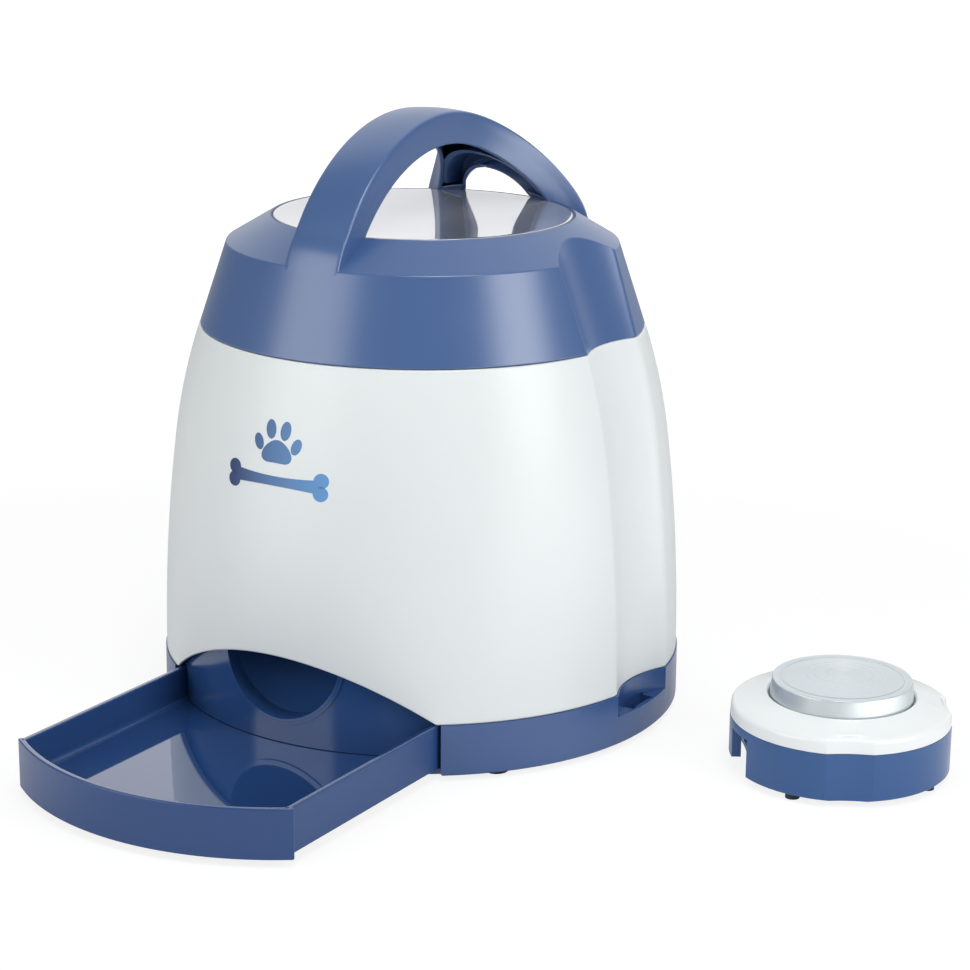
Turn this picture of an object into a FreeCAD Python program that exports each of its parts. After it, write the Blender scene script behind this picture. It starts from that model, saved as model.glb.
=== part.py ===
# Treat-dispensing dog puzzle toy: a round dispenser with a drawer, and a round push button.
# Millimetres. The origin is on the floor on the dispenser's axis, +Z is up and the drawer
# opens towards -Y. The docking niche for the push button faces +X.
import FreeCAD, Part
import math
import os
import Sketcher
from FreeCAD import Placement, Rotation, Vector

doc = FreeCAD.newDocument("dog_puzzle_toy")

# Every driving dimension, as a word, its value and what it measures.
SIZES = [
    ("foot_height", 2.2, "rubber feet, below the base"),
    ("foot_radius", 4.5, "rubber feet"),
    ("foot_inset", 8.5, "middle of the rubber feet, in from the base ring"),
    ("foot_recess", 0.8, "recess in the base that each foot sits in"),
    ("foot_fit", 0.2, "foot to the rim of that recess"),
    ("base_radius", 100.0, "outside of the base ring"),
    ("base_wall", 2.4, "wall of the base ring"),
    ("base_top", 21.5, "top edge of the base ring"),
    ("floor_thick", 2.0, "floor plate of the base"),
    ("lip_height", 3.5, "locating lip above the base ring"),
    ("tray_half", 58.1, "half the drawer's width"),
    ("tray_wall", 2.2, "walls of the drawer"),
    ("tray_floor", 8.2, "top of the drawer's floor"),
    ("tray_floor_thick", 1.8, "floor of the drawer"),
    ("tray_travel", 89.3, "how far the drawer is pulled out"),
    ("tray_front_low", 2.9, "lower edge of the drawer's front"),
    ("tray_rear", 72.0, "rear end of the pulled out drawer, in front of the axis"),
    ("tray_lip", 1.4, "front wall beyond the drawer's side"),
    ("slide_gap", 0.3, "running gap of the drawer"),
    ("rail_wall", 2.2, "drawer rails in the base"),
    ("lug_depth", 1.5, "stop lugs on the drawer"),
    ("lug_length", 4.0, "stop lugs along the drawer"),
    ("lug_height", 3.4, "stop lugs"),
    ("lug_room", 1.0, "height of the lugs' slots beyond that of the lugs"),
    ("rail_ahead", 6.0, "drawer rails, in front of the drawer's rear end"),
    ("rail_behind", 7.0, "drawer rails, behind the shut drawer"),
    ("shell_step", 0.5, "housing's lower edge, in from the base ring"),
    ("shell_mid_radius", 94.0, "housing, where its curve tightens"),
    ("shell_mid_height", 107.0, "height of that place"),
    ("shell_top_radius", 84.5, "housing, at its upper edge"),
    ("shell_top", 148.0, "upper edge of the housing"),
    ("shell_low_bend", 663.0, "radius of the lower side curve"),
    ("shell_high_bend", 216.0, "radius of the upper side curve"),
    ("shell_wall", 2.4, "wall of the housing"),
    ("arch_radius", 91.6, "arched cut-out above the drawer"),
    ("arch_top", 42.2, "top of the arched cut-out"),
    ("niche_radius", 40.8, "docking niche"),
    ("niche_depth", 6.4, "docking niche, below the housing's curve"),
    ("niche_top_depth", 8.4, "docking niche, at the cover's shoulder"),
    ("shelf_height", 13.2, "docking shelf in the base"),
    ("dock_slot_half", 7.8, "half the width of the docking slot"),
    ("seam", 0.2, "gap between the housing and the cover"),
    ("cover_radius", 84.3, "cover, at its lower edge"),
    ("shoulder_radius", 74.0, "crease of the cover's shoulder"),
    ("shoulder_rise", 31.4, "height of that crease above the housing"),
    ("cover_wall", 2.3, "wall of the cover"),
    ("window_radius", 56.4, "clear window"),
    ("window_rise", 41.2, "top of the window above the housing"),
    ("window_thick", 2.3, "clear window"),
    ("gasket_thick", 0.5, "gasket round the window"),
    ("window_seat", 3.2, "width of the ledge under the window"),
    ("handle_outer", 80.0, "dome that the handle's top lies on"),
    ("handle_outer_rise", 0.3, "centre of that dome above the housing"),
    ("handle_inner", 71.0, "dome that the handle's underside lies on"),
    ("handle_inner_drop", 2.8, "centre of that dome below the housing's upper edge"),
    ("handle_half", 10.3, "half the handle's width at the top"),
    ("handle_foot_half", 11.6, "half the handle's width at its front foot"),
    ("handle_skin", 2.8, "top skin of the handle"),
    ("handle_side", 2.2, "side walls of the handle"),
    ("flare_radius", 60.0, "sideways flare of the handle's rear legs"),
    ("flare_start", 10.0, "where the flare starts, behind the axis"),
    ("rear_arch_radius", 14.5, "arched opening between the rear legs"),
    ("rear_arch_rise", 37.9, "centre of that opening above the housing"),
    ("arch_rib_radius", 21.4, "curved rib in the hollow handle, over that opening"),
    ("arch_rib_thick", 1.6, "curved rib"),
    ("skirt_radius", 72.9, "plug skirt under the cover"),
    ("skirt_wall", 2.0, "plug skirt"),
    ("skirt_drop", 9.0, "lower edge of the plug skirt, below the housing's upper edge"),
    ("seal_drop", 6.0, "middle of the sealing ring, below the housing's upper edge"),
    ("seal_gap", 0.15, "sealing ring to the hopper's bore"),
    ("hopper_bore", 73.5, "hopper's straight rim"),
    ("hopper_wall", 1.8, "wall of the hopper"),
    ("ledge_drop", 12.0, "ledge that the hopper hangs on, below the housing's upper edge"),
    ("ledge_width", 6.0, "that ledge, inward from the housing's wall"),
    ("wheel_radius", 57.7, "dosing wheel"),
    ("wheel_gap", 0.8, "round the dosing wheel"),
    ("wheel_height", 20.0, "dosing wheel"),
    ("vane_thick", 1.8, "vanes of the dosing wheel"),
    ("vane_count", 6.0, "pockets in the dosing wheel"),
    ("hub_radius", 10.0, "hub of the dosing wheel"),
    ("plate_height", 76.0, "underside of the dosing plate"),
    ("plate_thick", 2.5, "dosing plate"),
    ("plate_radius", 68.0, "dosing plate"),
    ("outlet_radius", 17.5, "outlet in the dosing plate"),
    ("case_gap", 1.2, "gear case to the chute"),
    ("shaft_radius", 3.0, "drive shaft"),
    ("bearing_gap", 0.05, "running clearance of shafts, on the radius"),
    ("gear_module", 0.8, "gear teeth"),
    ("wheel_teeth", 36.0, "gear on the drive shaft"),
    ("step_teeth", 12.0, "small gear of the idler"),
    ("idler_teeth", 30.0, "large gear of the idler"),
    ("motor_teeth", 10.0, "gear on the motor"),
    ("gear_thick", 4.0, "gears"),
    ("gear_spread", 0.12, "added to each gear centre distance"),
    ("backlash", 0.16, "taken off each tooth"),
    ("pin_radius", 1.5, "idler's pin"),
    ("case_wall", 1.5, "gear case"),
    ("motor_radius", 12.0, "gear motor"),
    ("motor_length", 26.0, "gear motor"),
    ("mouth_radius", 25.0, "mouth of the chute"),
    ("mouth_height", 42.6, "centre of the chute's mouth"),
    ("mouth_rim", 2.0, "raised rim round the mouth"),
    ("mouth_rise", 0.55, "how far that rim stands out"),
    ("fascia_fit", 0.21, "curved wall behind the drawer, inside the housing's wall"),
    ("fascia_top", 52.0, "upper edge of that wall"),
    ("chute_wall", 2.0, "chute and curved wall"),
    ("cell_radius", 7.1, "round battery of the base"),
    ("cell_length", 49.5, "battery of the base"),
    ("cell_count", 4.0, "batteries of the base"),
    ("bay_front", 27.0, "battery bay, behind the axis"),
    ("bay_wall", 1.6, "battery box"),
    ("screw_radius", 1.2, "self-tapping screws"),
    ("screw_head", 2.8, "heads of those screws"),
    ("screw_fit", 0.05, "screw to its pilot hole"),
    ("screw_close", 0.1, "screw to a hole in a thin plate"),
    ("screw_clear", 0.3, "screw to a hole in a boss"),
    ("head_clear", 0.4, "screw head to its recess in a boss"),
    ("post_inset", 16.0, "middle of the housing's screw posts, in from the base ring"),
    ("post_radius", 4.5, "screw posts"),
    ("boss_height", 8.0, "screw bosses of the base, above its floor"),
    ("boss_recess", 4.0, "recess for the screw heads in those bosses"),
    ("screw_hole", 22.0, "pilot holes in the housing's posts"),
    ("door_ledge", 2.0, "ledge of the battery box that its door lies under"),
    ("door_gap", 0.3, "round the battery door"),
    ("switch_travel", 5.0, "power switch"),
    ("knob_half", 2.3, "half the width of the switch's knob"),
    ("knob_low", 10.2, "lower side of that knob"),
    ("knob_high", 13.8, "upper side of that knob"),
    ("knob_gap", 0.4, "round that knob"),
    ("button_x", 173.9, "push button, to the right"),
    ("button_y", 11.25, "push button, behind the axis"),
    ("button_turn", 29.0, "push button, turned from square"),
    ("button_radius", 40.1, "wall of the push button"),
    ("button_wall", 3.3, "wall and tongue of the push button"),
    ("button_low", 2.5, "lower edge of that wall"),
    ("button_seam", 20.0, "seam between wall and ring"),
    ("ring_height", 28.8, "inner edge of the ring"),
    ("ring_round", 2.6, "rounded outer edge of the ring"),
    ("ring_bore_round", 0.8, "rounded inner edge of the ring"),
    ("cap_radius", 26.0, "cap, where it leaves the ring"),
    ("cap_gap", 0.5, "gap between cap and ring"),
    ("cap_top_radius", 25.2, "cap, at its upper edge"),
    ("cap_edge", 34.3, "height of that edge"),
    ("cap_crown", 36.6, "middle of the cap"),
    ("cap_round", 0.8, "rounded upper edge of the cap"),
    ("cap_skin", 1.6, "cap"),
    ("cap_travel", 2.8, "cap, when pressed"),
    ("scallop_radius", 45.0, "hollow finger grips of the push button"),
    ("scallop_depth", 38.4, "deepest place of a grip, from the middle"),
    ("tongue_half", 7.2, "half the tongue's width"),
    ("tongue_low", 5.8, "tip of the tongue"),
    ("notch_top", 17.0, "top of the docking notch"),
    ("dock_gap", 0.9, "docking notch to the base"),
    ("spring_radius", 7.5, "return spring of the cap"),
    ("spring_wire", 0.7, "wire of the return spring"),
    ("small_cell_radius", 5.2, "battery of the push button"),
    ("small_cell_length", 43.5, "battery of the push button"),
]

sheet = doc.addObject("Spreadsheet::Sheet", "Sizes")
for row, (word, value, meaning) in enumerate(SIZES, start=1):
    sheet.set("A%d" % row, word)
    sheet.set("B%d" % row, repr(value))
    sheet.set("C%d" % row, meaning)
    sheet.setAlias("B%d" % row, word)
doc.recompute()


class Size:
    """A size that carries its number and the spreadsheet formula that gives it."""

    def __init__(self, value, formula):
        self.value = float(value)
        self.formula = formula

    def __add__(self, other):
        other = as_size(other)
        return Size(self.value + other.value, "(%s + %s)" % (self.formula, other.formula))

    def __sub__(self, other):
        other = as_size(other)
        return Size(self.value - other.value, "(%s - %s)" % (self.formula, other.formula))

    def __mul__(self, other):
        other = as_size(other)
        return Size(self.value * other.value, "(%s * %s)" % (self.formula, other.formula))

    def __truediv__(self, other):
        other = as_size(other)
        return Size(self.value / other.value, "(%s / %s)" % (self.formula, other.formula))

    def __radd__(self, other):
        return as_size(other) + self

    def __rsub__(self, other):
        return as_size(other) - self

    def __rmul__(self, other):
        return as_size(other) * self

    def __neg__(self):
        return Size(-self.value, "(0 - %s)" % self.formula)


def as_size(item):
    """A plain number becomes a Size with a constant formula."""
    if isinstance(item, Size):
        return item
    return Size(item, "(%.6f)" % item)


def root(size):
    """Square root of a Size."""
    size = as_size(size)
    return Size(math.sqrt(size.value), "sqrt(%s)" % size.formula)


def sine(degrees):
    """Sine of an angle in degrees."""
    degrees = as_size(degrees)
    return Size(math.sin(math.radians(degrees.value)), "sin(1deg * %s)" % degrees.formula)


def cosine(degrees):
    """Cosine of an angle in degrees."""
    degrees = as_size(degrees)
    return Size(math.cos(math.radians(degrees.value)), "cos(1deg * %s)" % degrees.formula)


class Dimensions:
    """The sheet's cells as Size attributes, under their aliases."""


dims = Dimensions()
for word, value, meaning in SIZES:
    setattr(dims, word, Size(value, "Sizes." + word))

# The housing stands on the base ring, a small step in from its edge.
dims.shell_radius = dims.base_radius - dims.shell_step


def curve_radius_at(height, low_radius, low, high_radius, high, bend):
    """Radius at a height on the outward arc of radius bend between two places (radius, height)."""
    across = high_radius - low_radius
    up = high - low
    chord = root(across * across + up * up)
    depth = root(bend * bend - chord * chord / 4) / chord
    centre_radius = (low_radius + high_radius) / 2 - up * depth
    centre_height = (low + high) / 2 + across * depth
    rise = height - centre_height
    return centre_radius + root(bend * bend - rise * rise)


def shell_radius_at(height):
    """Outside radius of the housing at a height, along its two side curves."""
    height = as_size(height)
    if height.value <= dims.shell_mid_height.value:
        return curve_radius_at(height, dims.shell_radius, dims.base_top, dims.shell_mid_radius,
                               dims.shell_mid_height, dims.shell_low_bend)
    return curve_radius_at(height, dims.shell_mid_radius, dims.shell_mid_height,
                           dims.shell_top_radius, dims.shell_top, dims.shell_high_bend)


# Sizes that several pieces share, worked out once.
dims.fascia_radius = shell_radius_at(dims.fascia_top) - dims.shell_wall - dims.fascia_fit
dims.foot_circle = dims.base_radius - dims.foot_inset
dims.post_circle = dims.base_radius - dims.post_inset
dims.shoulder_height = dims.shell_top + dims.shoulder_rise
dims.window_top = dims.shell_top + dims.window_rise
dims.handle_outer_height = dims.shell_top + dims.handle_outer_rise
dims.handle_inner_height = dims.shell_top - dims.handle_inner_drop
dims.rear_arch_height = dims.shell_top + dims.rear_arch_rise
dims.skirt_low = dims.shell_top - dims.skirt_drop
dims.seal_height = dims.shell_top - dims.seal_drop
dims.ledge_height = dims.shell_top - dims.ledge_drop
gear_case_room = dims.gear_module * (dims.wheel_teeth / 2 + 1) + 1.4
gear_case_radius = gear_case_room + dims.case_wall
duct_top_radius = dims.outlet_radius + 0.2
dims.outlet_place = gear_case_radius + dims.case_gap + dims.chute_wall + duct_top_radius
floor_top = dims.foot_height + dims.floor_thick
tray_top = dims.base_top - 0.3
rail_inner = dims.tray_half + dims.slide_gap
tray_low = floor_top + dims.slide_gap
dock_x = dims.shell_radius - dims.niche_depth + dims.niche_radius
base_niche = dims.niche_radius - 0.5
niche_back = dims.niche_radius + dims.shell_wall
wheel_low = dims.plate_height + dims.plate_thick + 0.5
wheel_top = wheel_low + dims.wheel_height
hopper_waist = dims.wheel_radius + dims.wheel_gap
hopper_top = dims.shell_top + dims.seam + 0.1
cover_low = dims.shell_top + dims.seam
gear_bottom = dims.plate_height - 8.0
step_distance = dims.gear_module * (dims.wheel_teeth + dims.step_teeth) / 2 + dims.gear_spread
motor_distance = dims.gear_module * (dims.idler_teeth + dims.motor_teeth) / 2 + dims.gear_spread
motor_place = step_distance + motor_distance
gear_case_low = gear_bottom - 10.5
bay_half = dims.cell_radius * dims.cell_count + 4.5
bay_rear = dims.bay_front + dims.cell_length + 4.5
cell_height = floor_top + dims.cell_radius + 0.3
press_gap = 0.02
shaft_end_gap = 0.3
pilot_radius = dims.screw_radius + dims.screw_fit
close_radius = dims.screw_radius + dims.screw_close
door_half = bay_half - dims.door_ledge
door_rear = bay_rear - dims.door_ledge
knob_room = dims.switch_travel / 2 + dims.knob_half + dims.knob_gap

# How far a cutting tool reaches past a face that it opens, and a joined piece into its neighbour.
PAST = 1.0
SUNK = 0.5


def bind(thing, path, size):
    """Ties a property or constraint of an object to the formula of a Size."""
    thing.setExpression(path, as_size(size).formula)


def move(thing, x, y, z, rotation=Rotation()):
    """Places an object, with each coordinate tied to its formula."""
    here = Vector(as_size(x).value, as_size(y).value, as_size(z).value)
    thing.Placement = Placement(here, rotation)
    bind(thing, "Placement.Base.x", x)
    bind(thing, "Placement.Base.y", y)
    bind(thing, "Placement.Base.z", z)


def cylinder(name, radius, low, high, x=0, y=0):
    """An upright cylinder between two heights."""
    piece = doc.addObject("Part::Cylinder", name)
    bind(piece, "Radius", radius)
    bind(piece, "Height", as_size(high) - low)
    move(piece, x, y, low)
    return piece


def lying_cylinder(name, radius, length, x, y, z):
    """A cylinder that lies along +Y from its starting point."""
    piece = doc.addObject("Part::Cylinder", name)
    bind(piece, "Radius", radius)
    bind(piece, "Height", length)
    move(piece, x, y, z, Rotation(Vector(1, 0, 0), -90))
    return piece


def block(name, x0, x1, y0, y1, z0, z1):
    """A box between two corners."""
    piece = doc.addObject("Part::Box", name)
    bind(piece, "Length", as_size(x1) - x0)
    bind(piece, "Width", as_size(y1) - y0)
    bind(piece, "Height", as_size(z1) - z0)
    move(piece, x0, y0, z0)
    return piece


def ball(name, radius, z):
    """A sphere on the upright axis."""
    piece = doc.addObject("Part::Sphere", name)
    bind(piece, "Radius", radius)
    move(piece, 0, 0, z)
    return piece


def cut(name, base, *tools):
    """The base without the tools."""
    tool = tools[0] if len(tools) == 1 else fuse(name + "_tools", *tools)
    piece = doc.addObject("Part::Cut", name)
    piece.Base = base
    piece.Tool = tool
    return piece


def fuse(name, *pieces):
    """All pieces as one, with the seams between their faces taken out."""
    piece = doc.addObject("Part::MultiFuse", name)
    piece.Shapes = list(pieces)
    piece.Refine = True
    return piece


def gather(name, *pieces):
    """Separate solids under one name."""
    piece = doc.addObject("Part::Compound", name)
    piece.Links = list(pieces)
    return piece


def common(name, *pieces):
    """What all pieces share."""
    piece = doc.addObject("Part::MultiCommon", name)
    piece.Shapes = list(pieces)
    return piece


def rod(name, radius, low, high, x=0, y=0):
    """An eight-sided rod, for screw stems and other small round pieces that stay hidden."""
    piece = doc.addObject("Part::Prism", name)
    piece.Polygon = 8
    bind(piece, "Circumradius", radius)
    bind(piece, "Height", as_size(high) - low)
    move(piece, x, y, low)
    return piece


def screw(name, head_low, head_high, tip, x, y):
    """A self-tapping screw, head down, with its stem up to the tip."""
    head = rod(name + "_head", dims.screw_head, head_low, head_high, x, y)
    stem = rod(name + "_stem", dims.screw_radius, as_size(head_high) - 0.3, tip, x, y)
    return fuse(name, head, stem)


def tube(name, outer, inner, low, high, x=0, y=0):
    """An upright tube between two heights."""
    outside = cylinder(name + "_outer", outer, low, high, x, y)
    inside = cylinder(name + "_inner", inner, as_size(low) - 1, as_size(high) + 1, x, y)
    return cut(name, outside, inside)


def attach(sketch, body, role, height=0):
    """Puts a sketch on an origin plane of its own body, at a height above it."""
    for plane in body.Origin.OriginFeatures:
        if plane.Role == role:
            sketch.AttachmentSupport = [(plane, "")]
    sketch.MapMode = "FlatFace"
    sketch.AttachmentOffset = Placement(Vector(0, 0, as_size(height).value), Rotation())
    bind(sketch, "AttachmentOffset.Base.z", height)


def outline(sketch, corners):
    """A closed outline through the corners (x, y).

    A corner (x, y, radius, side) is reached by an arc of that radius, whose centre is on
    the left (side 1) or on the right (side -1) of the way there. Each coordinate and each
    radius is a constraint tied to its formula.
    """
    first = sketch.GeometryCount
    count = len(corners)
    ends = []
    for index in range(count):
        here = Vector(as_size(corners[index - 1][0]).value, as_size(corners[index - 1][1]).value, 0)
        there = Vector(as_size(corners[index][0]).value, as_size(corners[index][1]).value, 0)
        if len(corners[index]) == 2:
            sketch.addGeometry(Part.LineSegment(here, there), False)
            ends.append((1, 2))
            continue
        radius = as_size(corners[index][2]).value
        side = corners[index][3]
        chord = there - here
        left = Vector(-chord.y, chord.x, 0).normalize() * side
        middle = (here + there) * 0.5
        rise = radius - math.sqrt(radius ** 2 - (chord.Length / 2) ** 2)
        sketch.addGeometry(Part.Arc(here, middle - left * rise, there), False)
        starts_here = sketch.getPoint(first + index, 1).distanceToPoint(here) < 1e-6
        ends.append((1, 2) if starts_here else (2, 1))
    constraints = []
    formulas = []
    for index in range(count):
        edge = first + index
        following = (index + 1) % count
        x, y = corners[index][0], corners[index][1]
        end = ends[index][1]
        constraints.append(Sketcher.Constraint(
            "Coincident", edge, end, first + following, ends[following][0]))
        formulas.append(None)
        constraints.append(Sketcher.Constraint("DistanceX", -1, 1, edge, end, as_size(x).value))
        formulas.append(x)
        constraints.append(Sketcher.Constraint("DistanceY", -1, 1, edge, end, as_size(y).value))
        formulas.append(y)
        if len(corners[index]) > 2:
            radius = corners[index][2]
            constraints.append(Sketcher.Constraint("Radius", edge, as_size(radius).value))
            formulas.append(radius)
    start = sketch.ConstraintCount
    sketch.addConstraint(constraints)
    for offset, formula in enumerate(formulas):
        if isinstance(formula, Size):
            bind(sketch, "Constraints[%d]" % (start + offset), formula)


def turned(name, corners):
    """A body turned about the upright axis from an outline of (radius, height) corners."""
    body = doc.addObject("PartDesign::Body", name)
    sketch = body.newObject("Sketcher::SketchObject", name + "_profile")
    attach(sketch, body, "XZ_Plane")
    outline(sketch, corners)
    turn = body.newObject("PartDesign::Revolution", name + "_turn")
    turn.Profile = sketch
    turn.ReferenceAxis = (sketch, ["V_Axis"])
    turn.Angle = 360
    return body


def padded(name, corners, low, high):
    """A body raised from an outline in plan, between two heights."""
    body = doc.addObject("PartDesign::Body", name)
    sketch = body.newObject("Sketcher::SketchObject", name + "_plan")
    attach(sketch, body, "XY_Plane", low)
    outline(sketch, corners)
    pad = body.newObject("PartDesign::Pad", name + "_pad")
    pad.Profile = sketch
    bind(pad, "Length", as_size(high) - low)
    return body


def ring_stack(name, places):
    """A solid skinned over upright-axis circles given as (x, y, z, radius)."""
    circles = []
    for index, (x, y, z, radius) in enumerate(places):
        circle = doc.addObject("Part::Circle", "%s_ring_%d" % (name, index))
        bind(circle, "Radius", radius)
        move(circle, x, y, z)
        circles.append(circle)
    loft = doc.addObject("Part::Loft", name)
    loft.Sections = circles
    loft.Solid = True
    loft.Ruled = False
    return loft


sub_parts = []


def finish(piece, label):
    """Names a finished sub-part and puts it on the list that is written out."""
    piece.Label = label
    sub_parts.append(piece)
    return piece


def around(count, radius, start):
    """Places (x, y) spaced evenly round the axis, from a starting angle in degrees."""
    for number in range(count):
        angle = start + 360.0 / count * number
        yield cosine(angle) * radius, sine(angle) * radius


POST_ANGLES = (-38.0, -142.0, 48.0, 132.0)
FOOT_ANGLES = (-40.0, -140.0, 40.0, 140.0)
PLATE_SCREW_START = 60.0


def niche_tool(name, radius):
    """The docking channel along the housing, from below its lower edge to above its top."""
    over = 9.0  # beyond the housing's ends
    top = dims.shell_top + over
    stations = [
        (as_size(-over), dims.base_top),
        (dims.base_top, dims.base_top),
        ((dims.base_top + dims.shell_mid_height) / 2, None),
        (dims.shell_mid_height, None),
        ((dims.shell_mid_height + top) / 2, None),
        (top, None),
    ]
    places = []
    for height, follow in stations:
        centre = shell_radius_at(follow or height) - dims.niche_depth + dims.niche_radius
        places.append((centre, 0, height, radius))
    return ring_stack(name, places)


def cover_niche_tool(name, radius):
    """The same channel up the cover's wall, a little deeper at the shoulder."""
    low = dims.cover_radius - dims.niche_depth + dims.niche_radius
    high = dims.shoulder_radius - dims.niche_top_depth + dims.niche_radius
    slope = (high - low) / (dims.shoulder_height - cover_low)
    over = 14.0  # beyond the cover's wall
    return ring_stack(name, [
        (low - slope * over, 0, cover_low - over, radius),
        (high + slope * over, 0, dims.shoulder_height + over, radius),
    ])


def make_base():
    """Base ring with floor, drawer rails, docking shelf, battery opening and screw bosses."""
    edge = 0.8
    inside = dims.base_radius - dims.base_wall
    cup = turned("base_cup", [
        (0, dims.foot_height),
        (dims.base_radius - edge, dims.foot_height),
        (dims.base_radius, dims.foot_height + edge),
        (dims.base_radius, dims.base_top),
        (inside, dims.base_top),
        (inside, floor_top),
        (0, floor_top),
    ])
    lip_top = dims.base_top + dims.lip_height
    lip_fit = 0.3
    lip_outer = shell_radius_at(lip_top) - dims.shell_wall - lip_fit
    lip_inner = lip_outer - dims.base_wall
    lip_joint = inside + 0.4
    lip_step = dims.base_top - 0.8
    lip_root = dims.base_top - 3.0
    lip_foot = dims.base_top - 5.5
    lip = turned("base_lip", [
        (lip_inner, lip_foot),
        (lip_joint, lip_root),
        (lip_joint, lip_step),
        (lip_outer, lip_step),
        (lip_outer, lip_top),
        (lip_inner, lip_top),
    ])
    above = dims.base_top + 9.0  # clear of the lip
    ahead = -dims.base_radius - 5.0  # clear of the ring's front
    behind = -40.0  # well inside the ring's front wall
    lip_space = cylinder("base_lip_niche", niche_back + lip_fit, dims.base_top, above, dock_x)
    open_lip = cut("base_open_lip", lip, lip_space)
    rooted = floor_top - SUNK
    dock_block = common(
        "base_dock_block",
        cylinder("base_dock_round", base_niche + dims.base_wall, rooted, dims.base_top, dock_x),
        cylinder("base_dock_limit", dims.base_radius - edge, rooted, dims.base_top),
    )
    rails = []
    rail_front = -(dims.tray_rear + dims.rail_ahead)
    rail_rear = dims.tray_travel - dims.tray_rear + dims.rail_behind
    for side in (-1, 1):
        low, high = sorted((rail_inner * side, (rail_inner + dims.rail_wall) * side),
                           key=lambda item: item.value)
        name = "left" if side < 0 else "right"
        rails.append(block("base_rail_" + name, low, high, rail_front, rail_rear,
                           rooted, dims.base_top))
    rail_round = cylinder("base_rail_round", inside + SUNK, dims.foot_height, dims.base_top + PAST)
    rail_pair = common("base_rail_pair", fuse("base_rails", *rails), rail_round)
    stop_half = rail_inner + 1.0
    stop_thick = 2.0
    stop_height = 6.0
    stop_rear = rail_rear - 0.5
    stop = block("base_stop_rib", -stop_half, stop_half, stop_rear - stop_thick, stop_rear,
                 rooted, floor_top + stop_height)
    bosses = []
    for number, angle in enumerate(POST_ANGLES):
        bosses.append(cylinder("base_boss_%d" % number, dims.post_radius, rooted,
                               floor_top + dims.boss_height, cosine(angle) * dims.post_circle,
                               sine(angle) * dims.post_circle))
    solid = fuse("base_solid", cup, open_lip, dock_block, rail_pair, stop, *bosses)

    mouth_half = dims.tray_half + dims.tray_lip + dims.slide_gap
    wall_gap = block("base_front_gap", -mouth_half, mouth_half, ahead, behind, 0, above)
    plate_round = cylinder("base_plate_round", inside - 0.2, -PAST, above + PAST)
    front_gap = cut("base_front_cut", wall_gap, plate_round)
    run_gap = block("base_run_cut", -rail_inner, rail_inner, ahead, behind, floor_top, above)
    slot_gaps = []
    slot_low = dims.tray_floor - dims.tray_floor_thick - 0.4
    for side in (-1, 1):
        near, far = sorted(((rail_inner - PAST) * side, (rail_inner + dims.rail_wall + PAST) * side),
                           key=lambda item: item.value)
        name = "left" if side < 0 else "right"
        slot_gaps.append(block("base_lug_slot_" + name, near, far,
                               -(dims.tray_rear + dims.lug_length + dims.slide_gap),
                               dims.tray_travel - dims.tray_rear + PAST,
                               slot_low, slot_low + dims.lug_height + dims.lug_room))
    niche = cylinder("base_niche_cut", base_niche, dims.shelf_height, above, dock_x)
    slot_floor = floor_top + 1.0
    slot_inner = dims.button_radius - dims.button_wall - dims.dock_gap
    slot_start = dims.foot_circle - 30.0  # from inside the slot to outside the ring
    slot_end = dims.base_radius + 10.0
    slot = common(
        "base_dock_slot",
        tube("base_slot_ring", base_niche + dims.dock_gap, slot_inner, slot_floor,
             dims.shelf_height + PAST, dock_x),
        block("base_slot_width", slot_start, slot_end, -dims.dock_slot_half, dims.dock_slot_half,
              slot_floor, dims.shelf_height + PAST),
    )
    bay = block("base_bay_cut", -door_half, door_half, dims.bay_front, door_rear,
                dims.foot_height - PAST, floor_top + PAST)
    switch_gap = block("base_switch_cut", -knob_room, knob_room, inside - 5.6, dims.base_radius + 2 * PAST,
                       dims.knob_low - dims.knob_gap / 2, dims.knob_high + dims.knob_gap / 2)
    foot_places = [(cosine(angle) * dims.foot_circle, sine(angle) * dims.foot_circle)
                   for angle in FOOT_ANGLES]
    holes = []
    for number, angle in enumerate(POST_ANGLES):
        x = cosine(angle) * dims.post_circle
        y = sine(angle) * dims.post_circle
        holes.append(cylinder("base_screw_%d" % number, dims.screw_radius + dims.screw_clear, 0,
                              above, x, y))
        holes.append(cylinder("base_recess_%d" % number, dims.screw_head + dims.head_clear, 0,
                              floor_top + dims.boss_recess, x, y))
    for number, (x, y) in enumerate(foot_places):
        holes.append(cylinder("base_foot_recess_%d" % number, dims.foot_radius + dims.foot_fit, 0,
                              dims.foot_height + dims.foot_recess, x, y))
    base = cut("base_ring", solid, front_gap, run_gap, niche, slot, bay, switch_gap,
               *slot_gaps, *holes)
    finish(base, "base_shell")

    feet = []
    for number, (x, y) in enumerate(foot_places):
        feet.append(cylinder("foot_%d" % number, dims.foot_radius, 0,
                             dims.foot_height + dims.foot_recess, x, y))
    finish(gather("base_feet", *feet), "rubber_feet")


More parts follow.
